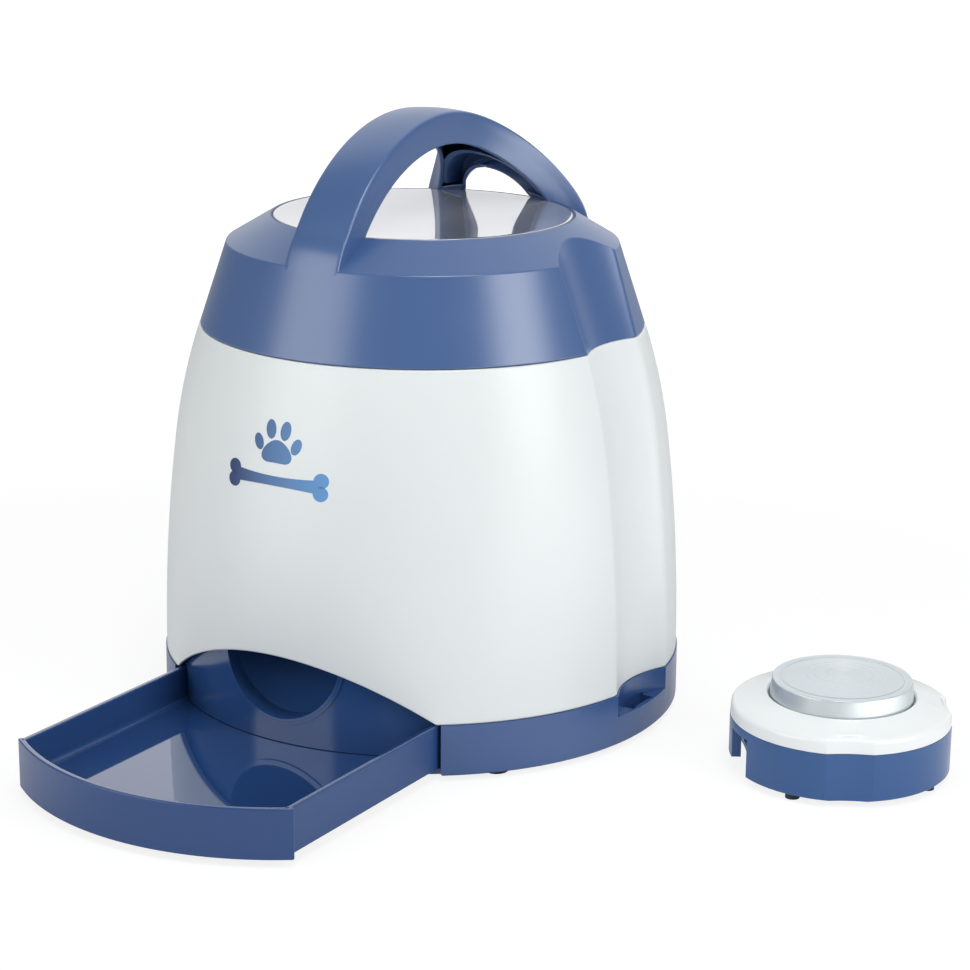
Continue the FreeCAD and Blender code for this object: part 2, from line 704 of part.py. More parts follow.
def make_tray():
    """The drawer, pulled out as far as its stop lugs let it."""
    centre = -dims.tray_travel
    inner_half = dims.tray_half - dims.tray_wall
    inner_radius = dims.base_radius - dims.tray_wall

    def drawer_plan(name, half, radius, rear, low, high):
        front = centre - root(radius * radius - half * half)
        return padded(name, [
            (-half, rear),
            (-half, front),
            (half, front, radius, 1),
            (half, rear),
        ], low, high)

    rear = -dims.tray_rear
    outside = drawer_plan("tray_outside", dims.tray_half, dims.base_radius, rear, tray_low, tray_top)
    inside = drawer_plan("tray_inside", inner_half, inner_radius, rear + 2 * PAST, dims.tray_floor,
                         tray_top + PAST)
    under = drawer_plan("tray_under", inner_half, inner_radius, rear + 2 * PAST, tray_low - PAST,
                        dims.tray_floor - dims.tray_floor_thick)
    front_half = dims.tray_half + dims.tray_lip
    corner = centre - root(dims.base_radius * dims.base_radius - front_half * front_half)
    inner_corner = centre - root(inner_radius * inner_radius - front_half * front_half)
    front = padded("tray_front", [
        (-front_half, inner_corner, inner_radius, -1),
        (-front_half, corner),
        (front_half, corner, dims.base_radius, 1),
        (front_half, inner_corner),
    ], dims.tray_front_low, tray_top)
    lug_low = dims.tray_floor - dims.tray_floor_thick
    lugs = []
    for side in (-1, 1):
        near, far = sorted(((dims.tray_half - SUNK) * side, (dims.tray_half + dims.lug_depth) * side),
                           key=lambda item: item.value)
        name = "left" if side < 0 else "right"
        lugs.append(block("tray_lug_" + name, near, far, rear - dims.lug_length, rear,
                          lug_low, lug_low + dims.lug_height))
    hollow = cut("tray_hollow", outside, inside, under)
    finish(fuse("tray_body", hollow, front, *lugs), "tray")


def make_chute():
    """Curved wall behind the drawer, with the round mouth and the duct that leads up from it."""
    wall = tube("fascia_ring", dims.fascia_radius, dims.fascia_radius - dims.chute_wall,
                dims.tray_floor + dims.slide_gap, dims.fascia_top)
    front = -dims.base_radius
    middle = -50.0  # behind the curved wall, in front of the dispenser's middle
    inner_half = dims.tray_half - dims.tray_wall - dims.slide_gap
    low_part = block("fascia_low", -inner_half, inner_half, front, middle,
                     dims.tray_floor, dims.base_top + SUNK)
    high_half = rail_inner - 0.4
    high_part = block("fascia_high", -high_half, high_half, front, middle,
                      dims.base_top, dims.fascia_top)
    fascia = common("fascia_wall", wall, fuse("fascia_limits", low_part, high_part))
    rim_low = dims.tray_floor + 1.0
    rim_top = dims.mouth_height - 4.0
    rim = common(
        "mouth_rim",
        lying_cylinder("mouth_rim_tube", dims.mouth_radius + dims.mouth_rim, middle - front,
                       0, front, dims.mouth_height),
        tube("mouth_rim_ring", dims.fascia_radius + dims.mouth_rise,
             dims.fascia_radius - dims.chute_wall / 2, rim_low, rim_top),
    )
    duct_front = -dims.fascia_radius + 8.0
    neck_top = dims.mouth_height + dims.mouth_radius + dims.chute_wall
    neck_reach = shell_radius_at(neck_top) - dims.shell_wall - 0.5
    neck = common(
        "mouth_neck",
        lying_cylinder("mouth_neck_tube", dims.mouth_radius + dims.chute_wall,
                       duct_front - front, 0, front, dims.mouth_height),
        cylinder("mouth_neck_round", neck_reach, 0, dims.plate_height),
    )

    def duct_ring(radius, y, z, lying):
        """Circle in four arcs that start level with each other, upright or lying."""
        arcs = []
        upward = Vector(0, -1, 0) if lying else Vector(0, 0, 1)
        for quarter in range(4):
            points = []
            for angle in (45, 90, 135):
                turn = math.radians(angle + 90 * quarter)
                offset = Vector(1, 0, 0) * math.cos(turn) + upward * math.sin(turn)
                points.append(Vector(0, y, z) + offset * radius)
            arcs.append(Part.Arc(*points).toShape())
        return Part.Wire(arcs)

    def duct(wall_thick):
        """Skin from the upright mouth to the lying outlet; the quarter arcs keep it from twisting."""
        mouth = duct_ring(dims.mouth_radius.value + wall_thick, duct_front.value,
                          dims.mouth_height.value, False)
        top = duct_ring(duct_top_radius.value + wall_thick, -dims.outlet_place.value,
                        dims.plate_height.value, True)
        return Part.makeLoft([mouth, top], True, True)

    duct_wall = doc.addObject("Part::Feature", "duct_wall")
    duct_wall.Shape = duct(dims.chute_wall.value).cut(duct(0.0))

    flanges = []
    flange_inward = 8.0
    flange_outer = rail_inner + dims.rail_wall - 0.3
    flange_rear = -45.0
    for side in (-1, 1):
        near, far = sorted(((rail_inner - flange_inward) * side, flange_outer * side),
                           key=lambda item: item.value)
        name = "left" if side < 0 else "right"
        flanges.append(block("chute_flange_" + name, near, far, front, flange_rear,
                             dims.base_top, dims.base_top + dims.chute_wall))
    inside_lip = cylinder("flange_inside_lip", dims.fascia_radius - dims.chute_wall - 0.2, 0,
                          dims.plate_height)
    joined_part = common(
        "flange_joined_part",
        block("flange_joined_box", -high_half, high_half, front, flange_rear, 0, dims.fascia_top),
        cylinder("flange_joined_round", dims.fascia_radius - SUNK, 0, dims.plate_height))
    flange_pair = common("chute_flanges", fuse("chute_flange_boxes", *flanges),
                         fuse("flange_limits", inside_lip, joined_part))
    bore_start = front - 5.0
    bore = lying_cylinder("mouth_bore", dims.mouth_radius, duct_front - bore_start,
                          0, bore_start, dims.mouth_height)
    bored = cut("chute_bored", fuse("chute_front", fascia, rim, neck), bore)
    finish(fuse("chute_body", bored, duct_wall, flange_pair), "chute")


def make_housing():
    """The tapered outer housing with its arched cut-out, docking niche and hopper ledge."""
    wall = dims.shell_wall
    outside = turned("housing_outside", [
        (0, dims.base_top),
        (dims.shell_radius, dims.base_top),
        (dims.shell_mid_radius, dims.shell_mid_height, dims.shell_low_bend, 1),
        (dims.shell_top_radius, dims.shell_top, dims.shell_high_bend, 1),
        (0, dims.shell_top),
    ])
    ledge_thick = 2.0
    ledge_low = dims.ledge_height - ledge_thick
    ledge_outer = shell_radius_at(dims.ledge_height) - wall
    ledge_lower = shell_radius_at(ledge_low) - wall
    inside = turned("housing_inside", [
        (0, dims.base_top - PAST),
        (dims.shell_radius - wall, dims.base_top - PAST),
        (dims.shell_mid_radius - wall, dims.shell_mid_height, dims.shell_low_bend, 1),
        (ledge_lower, ledge_low, dims.shell_high_bend, 1),
        (ledge_outer - dims.ledge_width, ledge_low),
        (ledge_outer - dims.ledge_width, dims.ledge_height),
        (ledge_outer, dims.ledge_height),
        (dims.shell_top_radius - wall, dims.shell_top, dims.shell_high_bend, 1),
        (dims.shell_top_radius - wall, dims.shell_top + PAST),
        (0, dims.shell_top + PAST),
    ])
    cavity = cut("housing_cavity", inside, niche_tool("housing_niche_back", niche_back))
    shell = cut("housing_wall", outside, cavity, niche_tool("housing_niche", dims.niche_radius))
    posts = []
    pilots = []
    post_gap = 0.2
    post_low = floor_top + dims.boss_height + post_gap
    post_high = dims.base_top + 24.5
    rib_low = dims.base_top + dims.lip_height + 0.5
    rib_thick = 2.0
    rib_reach = shell_radius_at(post_high) - wall + 0.9  # well into the housing's wall
    for number, angle in enumerate(POST_ANGLES):
        x = cosine(angle) * dims.post_circle
        y = sine(angle) * dims.post_circle
        post = cylinder("housing_post_%d" % number, dims.post_radius, post_low, post_high, x, y)
        rib = doc.addObject("Part::Box", "housing_rib_%d" % number)
        bind(rib, "Length", rib_reach - dims.post_circle)
        bind(rib, "Width", rib_thick)
        bind(rib, "Height", post_high - rib_low)
        spin = Rotation(Vector(0, 0, 1), angle)
        half = rib_thick / 2
        move(rib, x + sine(angle) * half, y - cosine(angle) * half, rib_low, spin)
        posts.append(post)
        posts.append(rib)
        pilots.append(cylinder("housing_pilot_%d" % number, pilot_radius,
                               post_low - PAST, post_low + dims.screw_hole, x, y))
    solid = fuse("housing_solid", shell, *posts)
    arch_start = -dims.base_radius - 15.0
    arch_length = 60.0  # through the front wall only
    arch = lying_cylinder("housing_arch", dims.arch_radius, arch_length, 0, arch_start,
                          dims.arch_top - dims.arch_radius)
    finish(cut("housing_body", solid, arch, *pilots), "housing_shell")

    screws = []
    head_thick = 2.2
    hole_end = 2.0  # left below the end of each pilot hole
    head_top = floor_top + dims.boss_recess
    for number, angle in enumerate(POST_ANGLES):
        x = cosine(angle) * dims.post_circle
        y = sine(angle) * dims.post_circle
        screws.append(screw("housing_screw_%d" % number, head_top - head_thick, head_top,
                            post_low + dims.screw_hole - hole_end, x, y))
    finish(gather("housing_screw_set", *screws), "housing_screws")


def make_hopper():
    """Food hopper that hangs on the housing's ledge, and the plate and wheel that dose the food."""
    bore = dims.hopper_bore
    rim = bore + dims.hopper_wall
    waist_rim = hopper_waist + dims.hopper_wall
    plate_top = dims.plate_height + dims.plate_thick
    flange_gap = 0.6
    flange_top = dims.ledge_height + 2.0
    flange = shell_radius_at(dims.ledge_height) - dims.shell_wall - flange_gap
    cone_top = dims.ledge_height - 8.0
    cone_low = wheel_top + 1.5
    bowl = turned("hopper_bowl", [
        (bore, hopper_top),
        (bore, cone_top),
        (hopper_waist, cone_low),
        (hopper_waist, plate_top),
        (waist_rim, plate_top),
        (waist_rim, cone_low),
        (rim, cone_top),
        (rim, dims.ledge_height),
        (flange, dims.ledge_height),
        (flange, flange_top),
        (rim, flange_top),
        (rim, hopper_top),
    ])
    roof_half = dims.outlet_radius + 3.5
    roof_rear = dims.outlet_place - dims.outlet_radius - 2.0
    roof_reach = hopper_waist + SUNK
    roof_front = root(roof_reach * roof_reach - roof_half * roof_half)
    roof = padded("hopper_roof", [
        (-roof_half, -roof_rear),
        (-roof_half, -roof_front),
        (roof_half, -roof_front, roof_reach, 1),
        (roof_half, -roof_rear),
    ], cone_low, cone_low + dims.hopper_wall)
    bosses = []
    pilots = []
    plate_screws = []
    boss_circle = waist_rim + 2.6
    boss_radius = 3.4
    boss_height = 12.0
    hole_depth = 10.0
    stem_depth = 8.0
    head_thick = 1.8
    for number, (x, y) in enumerate(around(3, boss_circle, PLATE_SCREW_START)):
        bosses.append(cylinder("hopper_boss_%d" % number, boss_radius, plate_top,
                               plate_top + boss_height, x, y))
        pilots.append(cylinder("hopper_pilot_%d" % number, pilot_radius, plate_top - PAST,
                               plate_top + hole_depth, x, y))
        plate_screws.append(screw("plate_screw_%d" % number, dims.plate_height - head_thick,
                                  dims.plate_height, plate_top + stem_depth, x, y))
    niche = niche_tool("hopper_niche", niche_back + 0.5)
    hopper = fuse("hopper_solid", bowl, roof, *bosses)
    finish(cut("hopper_body", hopper, niche, *pilots), "hopper")
    finish(gather("plate_screw_set", *plate_screws), "plate_screws")

    bearing_bore = dims.shaft_radius + dims.bearing_gap
    bearing_outer = dims.shaft_radius + 4.0
    bearing_low = dims.plate_height - 3.4
    bearing = turned("plate_turned", [
        (bearing_bore, bearing_low),
        (bearing_outer, bearing_low),
        (bearing_outer, dims.plate_height),
        (dims.plate_radius, dims.plate_height),
        (dims.plate_radius, plate_top),
        (bearing_bore, plate_top),
    ])
    outlet = cylinder("plate_outlet", dims.outlet_radius, dims.plate_height - PAST, plate_top + PAST,
                      0, -dims.outlet_place)
    screw_holes = []
    for number, (x, y) in enumerate(around(3, boss_circle, PLATE_SCREW_START)):
        screw_holes.append(cylinder("plate_hole_%d" % number, close_radius,
                                    dims.plate_height - PAST, plate_top + PAST, x, y))
    finish(cut("plate_body", bearing, outlet, *screw_holes), "dosing_plate")

    hub_bore = dims.shaft_radius + press_gap
    hub_tip = wheel_top + 9.0
    hub_tip_radius = 3.5
    socket_top = wheel_top - 2.0
    hub = turned("wheel_hub", [
        (hub_bore, wheel_low),
        (dims.hub_radius, wheel_low),
        (dims.hub_radius, wheel_top),
        (hub_tip_radius, hub_tip),
        (0, hub_tip),
        (0, socket_top),
        (hub_bore, socket_top),
    ])
    vanes = []
    vane_count = int(dims.vane_count.value)
    for number in range(vane_count):
        angle = 360.0 / vane_count * number
        vane = doc.addObject("Part::Box", "wheel_vane_%d" % number)
        bind(vane, "Length", dims.wheel_radius - dims.hub_radius + PAST)
        bind(vane, "Width", dims.vane_thick)
        bind(vane, "Height", dims.wheel_height)
        inner = dims.hub_radius - PAST
        half = dims.vane_thick / 2
        move(vane, cosine(angle) * inner + sine(angle) * half,
             sine(angle) * inner - cosine(angle) * half, wheel_low, Rotation(Vector(0, 0, 1), angle))
        vanes.append(vane)
    finish(fuse("wheel_body", hub, *vanes), "dosing_wheel")
    finish(cylinder("shaft_body", dims.shaft_radius, gear_case_low + shaft_end_gap,
                    socket_top - shaft_end_gap), "drive_shaft")


def gear_shape(teeth, low, thick, bore, phase):
    """A spur gear with its flanks on the involute, and a straight bore."""
    module = dims.gear_module.value
    pitch = module * teeth / 2
    tip = pitch + module
    foot = pitch - 1.25 * module
    pressure = math.radians(20.0)
    base = pitch * math.cos(pressure)

    def involute(angle):
        return math.tan(angle) - angle

    half_pitch = math.pi / (2 * teeth) - dims.backlash.value / (2 * pitch)

    def half_width(radius):
        if radius <= base:
            return half_pitch + involute(pressure)
        return half_pitch + involute(pressure) - involute(math.acos(base / radius))

    points = []
    for tooth in range(teeth):
        middle = 2 * math.pi * tooth / teeth + math.radians(phase)
        for radius, side in ((foot, -1), (pitch, -1), (tip, -1), (tip, 1), (pitch, 1), (foot, 1)):
            angle = middle + side * half_width(radius)
            points.append(Vector(radius * math.cos(angle), radius * math.sin(angle), low))
    points.append(points[0])
    blank = Part.Face(Part.makePolygon(points)).extrude(Vector(0, 0, thick))
    if bore > 0:
        blank = blank.cut(Part.makeCylinder(bore, thick + 2, Vector(0, 0, low - 1)))
    return blank


def make_gears():
    """Two-step gear train from the motor to the drive shaft, its case and the motor."""
    thick = dims.gear_thick.value
    wheel_teeth = int(dims.wheel_teeth.value)
    step_teeth = int(dims.step_teeth.value)
    idler_teeth = int(dims.idler_teeth.value)
    motor_teeth = int(dims.motor_teeth.value)
    high = gear_bottom.value
    low = high - thick - 2.0
    idler_place = Vector(0, step_distance.value, 0)
    motor_centre = Vector(0, motor_place.value, 0)

    output = doc.addObject("Part::Feature", "output_gear_body")
    output.Shape = gear_shape(wheel_teeth, high, thick, dims.shaft_radius.value + press_gap, 90.0)
    finish(output, "output_gear")

    small_phase = -90.0 + 180.0 / step_teeth
    large_phase = 90.0
    bore = dims.pin_radius.value + dims.bearing_gap.value
    small_low = low + thick - SUNK
    small = gear_shape(step_teeth, small_low, high + thick - small_low, bore, small_phase)
    large = gear_shape(idler_teeth, low, thick, bore, large_phase)
    idler = doc.addObject("Part::Feature", "idler_gear_body")
    idler.Shape = large.fuse(small).removeSplitter()
    idler.Placement = Placement(idler_place, Rotation())
    finish(idler, "idler_gear")

    motor_phase = -90.0 + 180.0 / motor_teeth
    stem_low = gear_case_low.value + shaft_end_gap
    motor_stem_radius = 1.0
    pinion_over = 0.5  # beyond the idler's teeth on each side
    stem = Part.makeCylinder(motor_stem_radius, low + thick - stem_low, Vector(0, 0, stem_low))
    pinion = doc.addObject("Part::Feature", "motor_pinion_body")
    pinion.Shape = gear_shape(motor_teeth, low - pinion_over, thick + 2 * pinion_over, 0,
                              motor_phase).fuse(stem)
    pinion.Placement = Placement(motor_centre, Rotation())
    finish(pinion, "motor_pinion")

    def case_plan(name, radius, bottom, top):
        """A long plan with round ends; each bend is a hair wider than a half circle can be."""
        bend = radius + 0.0001
        end = motor_place - 3.0
        return padded(name, [
            (-radius, 0),
            (radius, 0, bend, 1),
            (radius, end),
            (-radius, end, bend, 1),
        ], bottom, top)

    cup = case_plan("case_outside", gear_case_radius, gear_case_low, dims.plate_height)
    case_floor = gear_case_low + dims.case_wall
    room = case_plan("case_inside", gear_case_room, case_floor, dims.plate_height + PAST)
    hole_low = gear_case_low - PAST
    hole_high = case_floor + PAST
    shaft_hole = cylinder("case_shaft_hole", dims.shaft_radius + dims.bearing_gap, hole_low, hole_high)
    pin_hole = cylinder("case_pin_hole", dims.pin_radius + press_gap, hole_low, hole_high,
                        0, step_distance)
    motor_hole = cylinder("case_motor_hole", 2.5, hole_low, hole_high, 0, motor_place)
    finish(cut("case_body", cup, room, shaft_hole, pin_hole, motor_hole), "gear_case")
    pin_end_gap = 0.2
    finish(cylinder("idler_pin_body", dims.pin_radius, gear_case_low + pin_end_gap,
                    dims.plate_height - pin_end_gap, 0, step_distance), "idler_pin")

    motor_low = gear_case_low - dims.motor_length
    can = cylinder("motor_can", dims.motor_radius, motor_low, gear_case_low, 0, motor_place)
    flat_depth = 2.0
    reach = dims.motor_radius + 2 * PAST
    flats = []
    for side in (-1, 1):
        near, far = sorted(((dims.motor_radius - flat_depth) * side, reach * side),
                           key=lambda item: item.value)
        name = "left" if side < 0 else "right"
        flats.append(block("motor_flat_" + name, near, far, motor_place - reach, motor_place + reach,
                           motor_low - PAST, gear_case_low + PAST))
    finish(cut("motor_body", can, *flats), "gear_motor")


def make_electrics():
    """Battery box with its cells, contacts and door, the control board and the power switch."""
    wall = dims.bay_wall
    box_top = cell_height + dims.cell_radius + 0.5
    box_front = dims.bay_front - 1.5
    outside = block("bay_outside", -bay_half, bay_half, box_front, bay_rear,
                    floor_top, box_top + wall)
    inside = block("bay_inside", -bay_half + wall, bay_half - wall, box_front + wall,
                   bay_rear - wall, floor_top - PAST, box_top)
    finish(cut("bay_body", outside, inside), "battery_box")

    cells = []
    cell_count = int(dims.cell_count.value)
    first_y = dims.bay_front + 1.5
    cell_gap = 0.6
    nub_length = 1.5
    nub_half = 2.0
    for number in range(cell_count):
        x = (dims.cell_radius * 2 + cell_gap) * (number - (cell_count - 1) / 2)
        shell = lying_cylinder("cell_can_%d" % number, dims.cell_radius,
                               dims.cell_length - nub_length, x, first_y, cell_height)
        nub = block("cell_nub_%d" % number, x - nub_half, x + nub_half,
                    first_y + dims.cell_length - nub_length - SUNK, first_y + dims.cell_length,
                    cell_height - nub_half, cell_height + nub_half)
        cells.append(fuse("cell_%d" % number, shell, nub))
    finish(gather("cell_set", *cells), "batteries")

    strips = []
    strip_half = bay_half - wall - 1.0
    strip_thick = 0.5
    strip_reach = 5.0  # above and below the cells' middle
    strip_front = first_y - 0.3 - strip_thick
    strip_rear = first_y + dims.cell_length + 0.2
    for name, y in (("front", strip_front), ("rear", strip_rear)):
        strips.append(block("contact_" + name, -strip_half, strip_half, y, y + strip_thick,
                            cell_height - strip_reach, cell_height + strip_reach))
    finish(gather("contact_set", *strips), "battery_contacts")

    door_edge = door_half - dims.door_gap
    door = block("door_plate", -door_edge, door_edge, dims.bay_front + dims.door_gap,
                 door_rear - dims.door_gap, dims.foot_height, floor_top)
    screw_y = door_rear - 3.0
    door_hole = cylinder("door_hole", close_radius, 0, floor_top + PAST, 0, screw_y)
    head_low = dims.foot_height + 0.1
    head_top = dims.foot_height + 1.2
    door_recess = cylinder("door_recess", dims.screw_head + 0.3, 0, head_top, 0, screw_y)
    finish(cut("door_body", door, door_hole, door_recess), "battery_door")
    screw_tip = head_top + 4.0
    finish(screw("door_screw", head_low, head_top, screw_tip, 0, screw_y),
           "battery_door_screw")

    post_height = 3.0
    post_radius = 2.5
    board_thick = 1.6
    board_low = box_top + wall + post_height
    board_top = board_low + board_thick
    board_half = bay_half - 2.0
    board_front = dims.bay_front + 4.0
    board_rear = bay_rear - 1.0
    post_inset = 4.0
    board = block("board_plate", -board_half, board_half, board_front, board_rear,
                  board_low, board_top)
    posts = []
    for side in (-1, 1):
        for y in (board_front + post_inset, board_rear - post_inset):
            x = (board_half - post_inset) * side
            name = "%s_%d" % ("left" if side < 0 else "right", len(posts))
            posts.append(cylinder("board_post_" + name, post_radius, box_top + wall, board_low, x, y))
    finish(gather("board_post_set", *posts), "board_spacers")
    finish(board, "control_board")
    chip = block("board_chip", -24, -14, board_rear - 24, board_rear - 14, board_top, board_top + 1.4)
    radio = block("board_radio", 8, 26, board_rear - 22, board_rear - 10, board_top, board_top + 2.2)
    store = cylinder("board_store", 3.2, board_top, board_top + 9, -6, board_rear - 12)
    finish(gather("board_part_set", chip, radio, store), "board_parts")
    sounder_radius = 6.0
    sounder_height = 5.5
    finish(cylinder("sounder_body", sounder_radius, board_top, board_top + sounder_height,
                    -22, board_rear - 7.5), "sounder")

    wall_inside = dims.base_radius - dims.base_wall
    switch_half = 7.0
    switch_depth = 6.5
    switch_top = dims.knob_high + 1.4
    track_depth = 3.0
    knob_stands_out = 0.8
    body_rear = wall_inside - 0.8
    switch = block("switch_block", -switch_half, switch_half, body_rear - switch_depth, body_rear,
                   floor_top, switch_top)
    track = block("switch_track", -knob_room, knob_room, body_rear - track_depth, body_rear + PAST,
                  dims.knob_low - dims.knob_gap, dims.knob_high + dims.knob_gap)
    finish(cut("switch_body", switch, track), "power_switch")
    rest_x = -dims.switch_travel / 2
    knob_rear = body_rear - track_depth + 0.3
    finish(block("knob_body", rest_x - dims.knob_half, rest_x + dims.knob_half, knob_rear,
                 dims.base_radius + knob_stands_out, dims.knob_low, dims.knob_high), "power_knob")


def handle_plan(name, inset, low, high):
    """The handle in plan: straight in front, and flared towards the two rear legs."""
    top_half = dims.handle_half - inset
    foot_half = dims.handle_foot_half - inset
    front = dims.handle_outer - 0.5
    rear = dims.handle_outer + 5.0
    start = dims.flare_start
    flare = dims.flare_radius + inset
    reach = dims.flare_radius - 5.0
    side = top_half + flare - root(flare * flare - reach * reach)
    return padded(name, [
        (-foot_half, -front),
        (foot_half, -front),
        (top_half, start),
        (side, start + reach, flare, -1),
        (side, rear),
        (-side, rear),
        (-side, start + reach),
        (-top_half, start, flare, -1),
    ], low, high)


def make_handle():
    """Carrying handle: a dome-shaped strap with one front foot and two rear legs, hollow below."""
    foot_low = dims.shoulder_height - 5.0
    hollow_low = dims.window_top + 0.6
    top = dims.handle_outer_height + dims.handle_outer
    skin = cut(
        "handle_dome",
        ball("handle_outer_dome", dims.handle_outer, dims.handle_outer_height),
        ball("handle_inner_dome", dims.handle_inner, dims.handle_inner_height))
    strap = common("handle_strap", skin, handle_plan("handle_outline", as_size(0), foot_low, top + 2 * PAST))
    hollow_plan = common(
        "handle_hollow_limit",
        handle_plan("handle_hollow_outline", dims.handle_side, hollow_low, top),
        ball("handle_hollow_dome", dims.handle_outer - dims.handle_skin, dims.handle_outer_height))
    arch_start = dims.flare_start + 4.0
    wall_start = arch_start + PAST
    length = dims.handle_outer - PAST * 5
    arch_wall = lying_cylinder("handle_arch_wall", dims.rear_arch_radius + dims.handle_side, length,
                               0, wall_start, dims.rear_arch_height)
    rib_outer = lying_cylinder("handle_rib_outer", dims.arch_rib_radius + dims.arch_rib_thick, length,
                               0, wall_start, dims.rear_arch_height)
    rib_inner = lying_cylinder("handle_rib_inner", dims.arch_rib_radius, length + 2 * PAST,
                               0, arch_start, dims.rear_arch_height)
    rib = cut("handle_rib", rib_outer, rib_inner)
    hollow = cut("handle_hollow", hollow_plan, arch_wall, rib)
    arch = lying_cylinder("handle_arch", dims.rear_arch_radius, dims.handle_outer, 0, arch_start,
                          dims.rear_arch_height)
    return cut("handle_body", strap, hollow, arch)


def make_cover():
    """Cover with its handle, docking niche, plug skirt, window and seals."""
    wall = dims.cover_wall
    rim = dims.window_radius + dims.gasket_thick + 0.3
    rim_edge = 0.2
    seat_height = dims.window_top - dims.window_thick - dims.gasket_thick
    seat_inner = rim - dims.window_seat
    seat_low = seat_height - 2.2
    seat_outer = seat_inner + 6.5
    shoulder_drop = 1.4  # inner crease below the outer one
    above = dims.window_top + 2.5
    outside = turned("cover_outside", [
        (0, cover_low),
        (dims.cover_radius, cover_low),
        (dims.shoulder_radius, dims.shoulder_height),
        (rim + rim_edge, dims.window_top),
        (0, dims.window_top),
    ])
    inside = turned("cover_inside", [
        (0, cover_low - PAST),
        (dims.cover_radius - wall, cover_low - PAST),
        (dims.cover_radius - wall, cover_low),
        (dims.shoulder_radius - wall, dims.shoulder_height - shoulder_drop),
        (seat_outer, seat_low),
        (seat_inner, seat_low),
        (seat_inner, seat_height),
        (rim, seat_height),
        (rim, above),
        (0, above),
    ])
    cavity = cut("cover_cavity", inside, cover_niche_tool("cover_niche_back",
                                                          dims.niche_radius + wall))
    plate_low = cover_low + 0.4
    skirt_top = plate_low + dims.skirt_wall
    plate_rim = dims.cover_radius - wall - 0.1
    skirt = turned("cover_skirt", [
        (dims.skirt_radius - dims.skirt_wall, dims.skirt_low),
        (dims.skirt_radius, dims.skirt_low),
        (dims.skirt_radius, plate_low),
        (plate_rim, plate_low),
        (plate_rim, skirt_top),
        (dims.skirt_radius - dims.skirt_wall, skirt_top),
    ])
    topped = fuse("cover_topped", outside, make_handle())
    hollow = cut("cover_hollow", topped, cavity)
    joined = fuse("cover_joined", hollow, skirt)
    finish(cut("cover_body", joined, cover_niche_tool("cover_niche", dims.niche_radius)), "lid_cover")

    window_low = dims.window_top - dims.window_thick
    window_edge = 0.4
    finish(turned("window_body", [
        (0, window_low),
        (dims.window_radius, window_low),
        (dims.window_radius, dims.window_top - window_edge),
        (dims.window_radius - window_edge, dims.window_top),
        (0, dims.window_top),
    ]), "window")
    gasket_inner = seat_inner + 0.3
    gasket_outer = rim - 0.1
    gasket_bore = dims.window_radius + 0.05
    gasket_top = dims.window_top - 0.2
    finish(turned("gasket_body", [
        (gasket_inner, seat_height),
        (gasket_outer, seat_height),
        (gasket_outer, gasket_top),
        (gasket_bore, gasket_top),
        (gasket_bore, window_low),
        (gasket_inner, window_low),
    ]), "window_gasket")
    lip = dims.hopper_bore - dims.seal_gap
    root_half = 1.2
    lip_half = 0.4
    finish(turned("seal_body", [
        (dims.skirt_radius, dims.seal_height - root_half),
        (lip, dims.seal_height - lip_half),
        (lip, dims.seal_height + lip_half),
        (dims.skirt_radius, dims.seal_height + root_half),
    ]), "lid_seal")


SCALLOP_ANGLES = (0.0, 90.0, -90.0)
BUTTON_FOOT_ANGLES = (32.0, -32.0, 122.0, -122.0)
BUTTON_SCREW_ANGLES = (0.0, 105.0, -105.0)


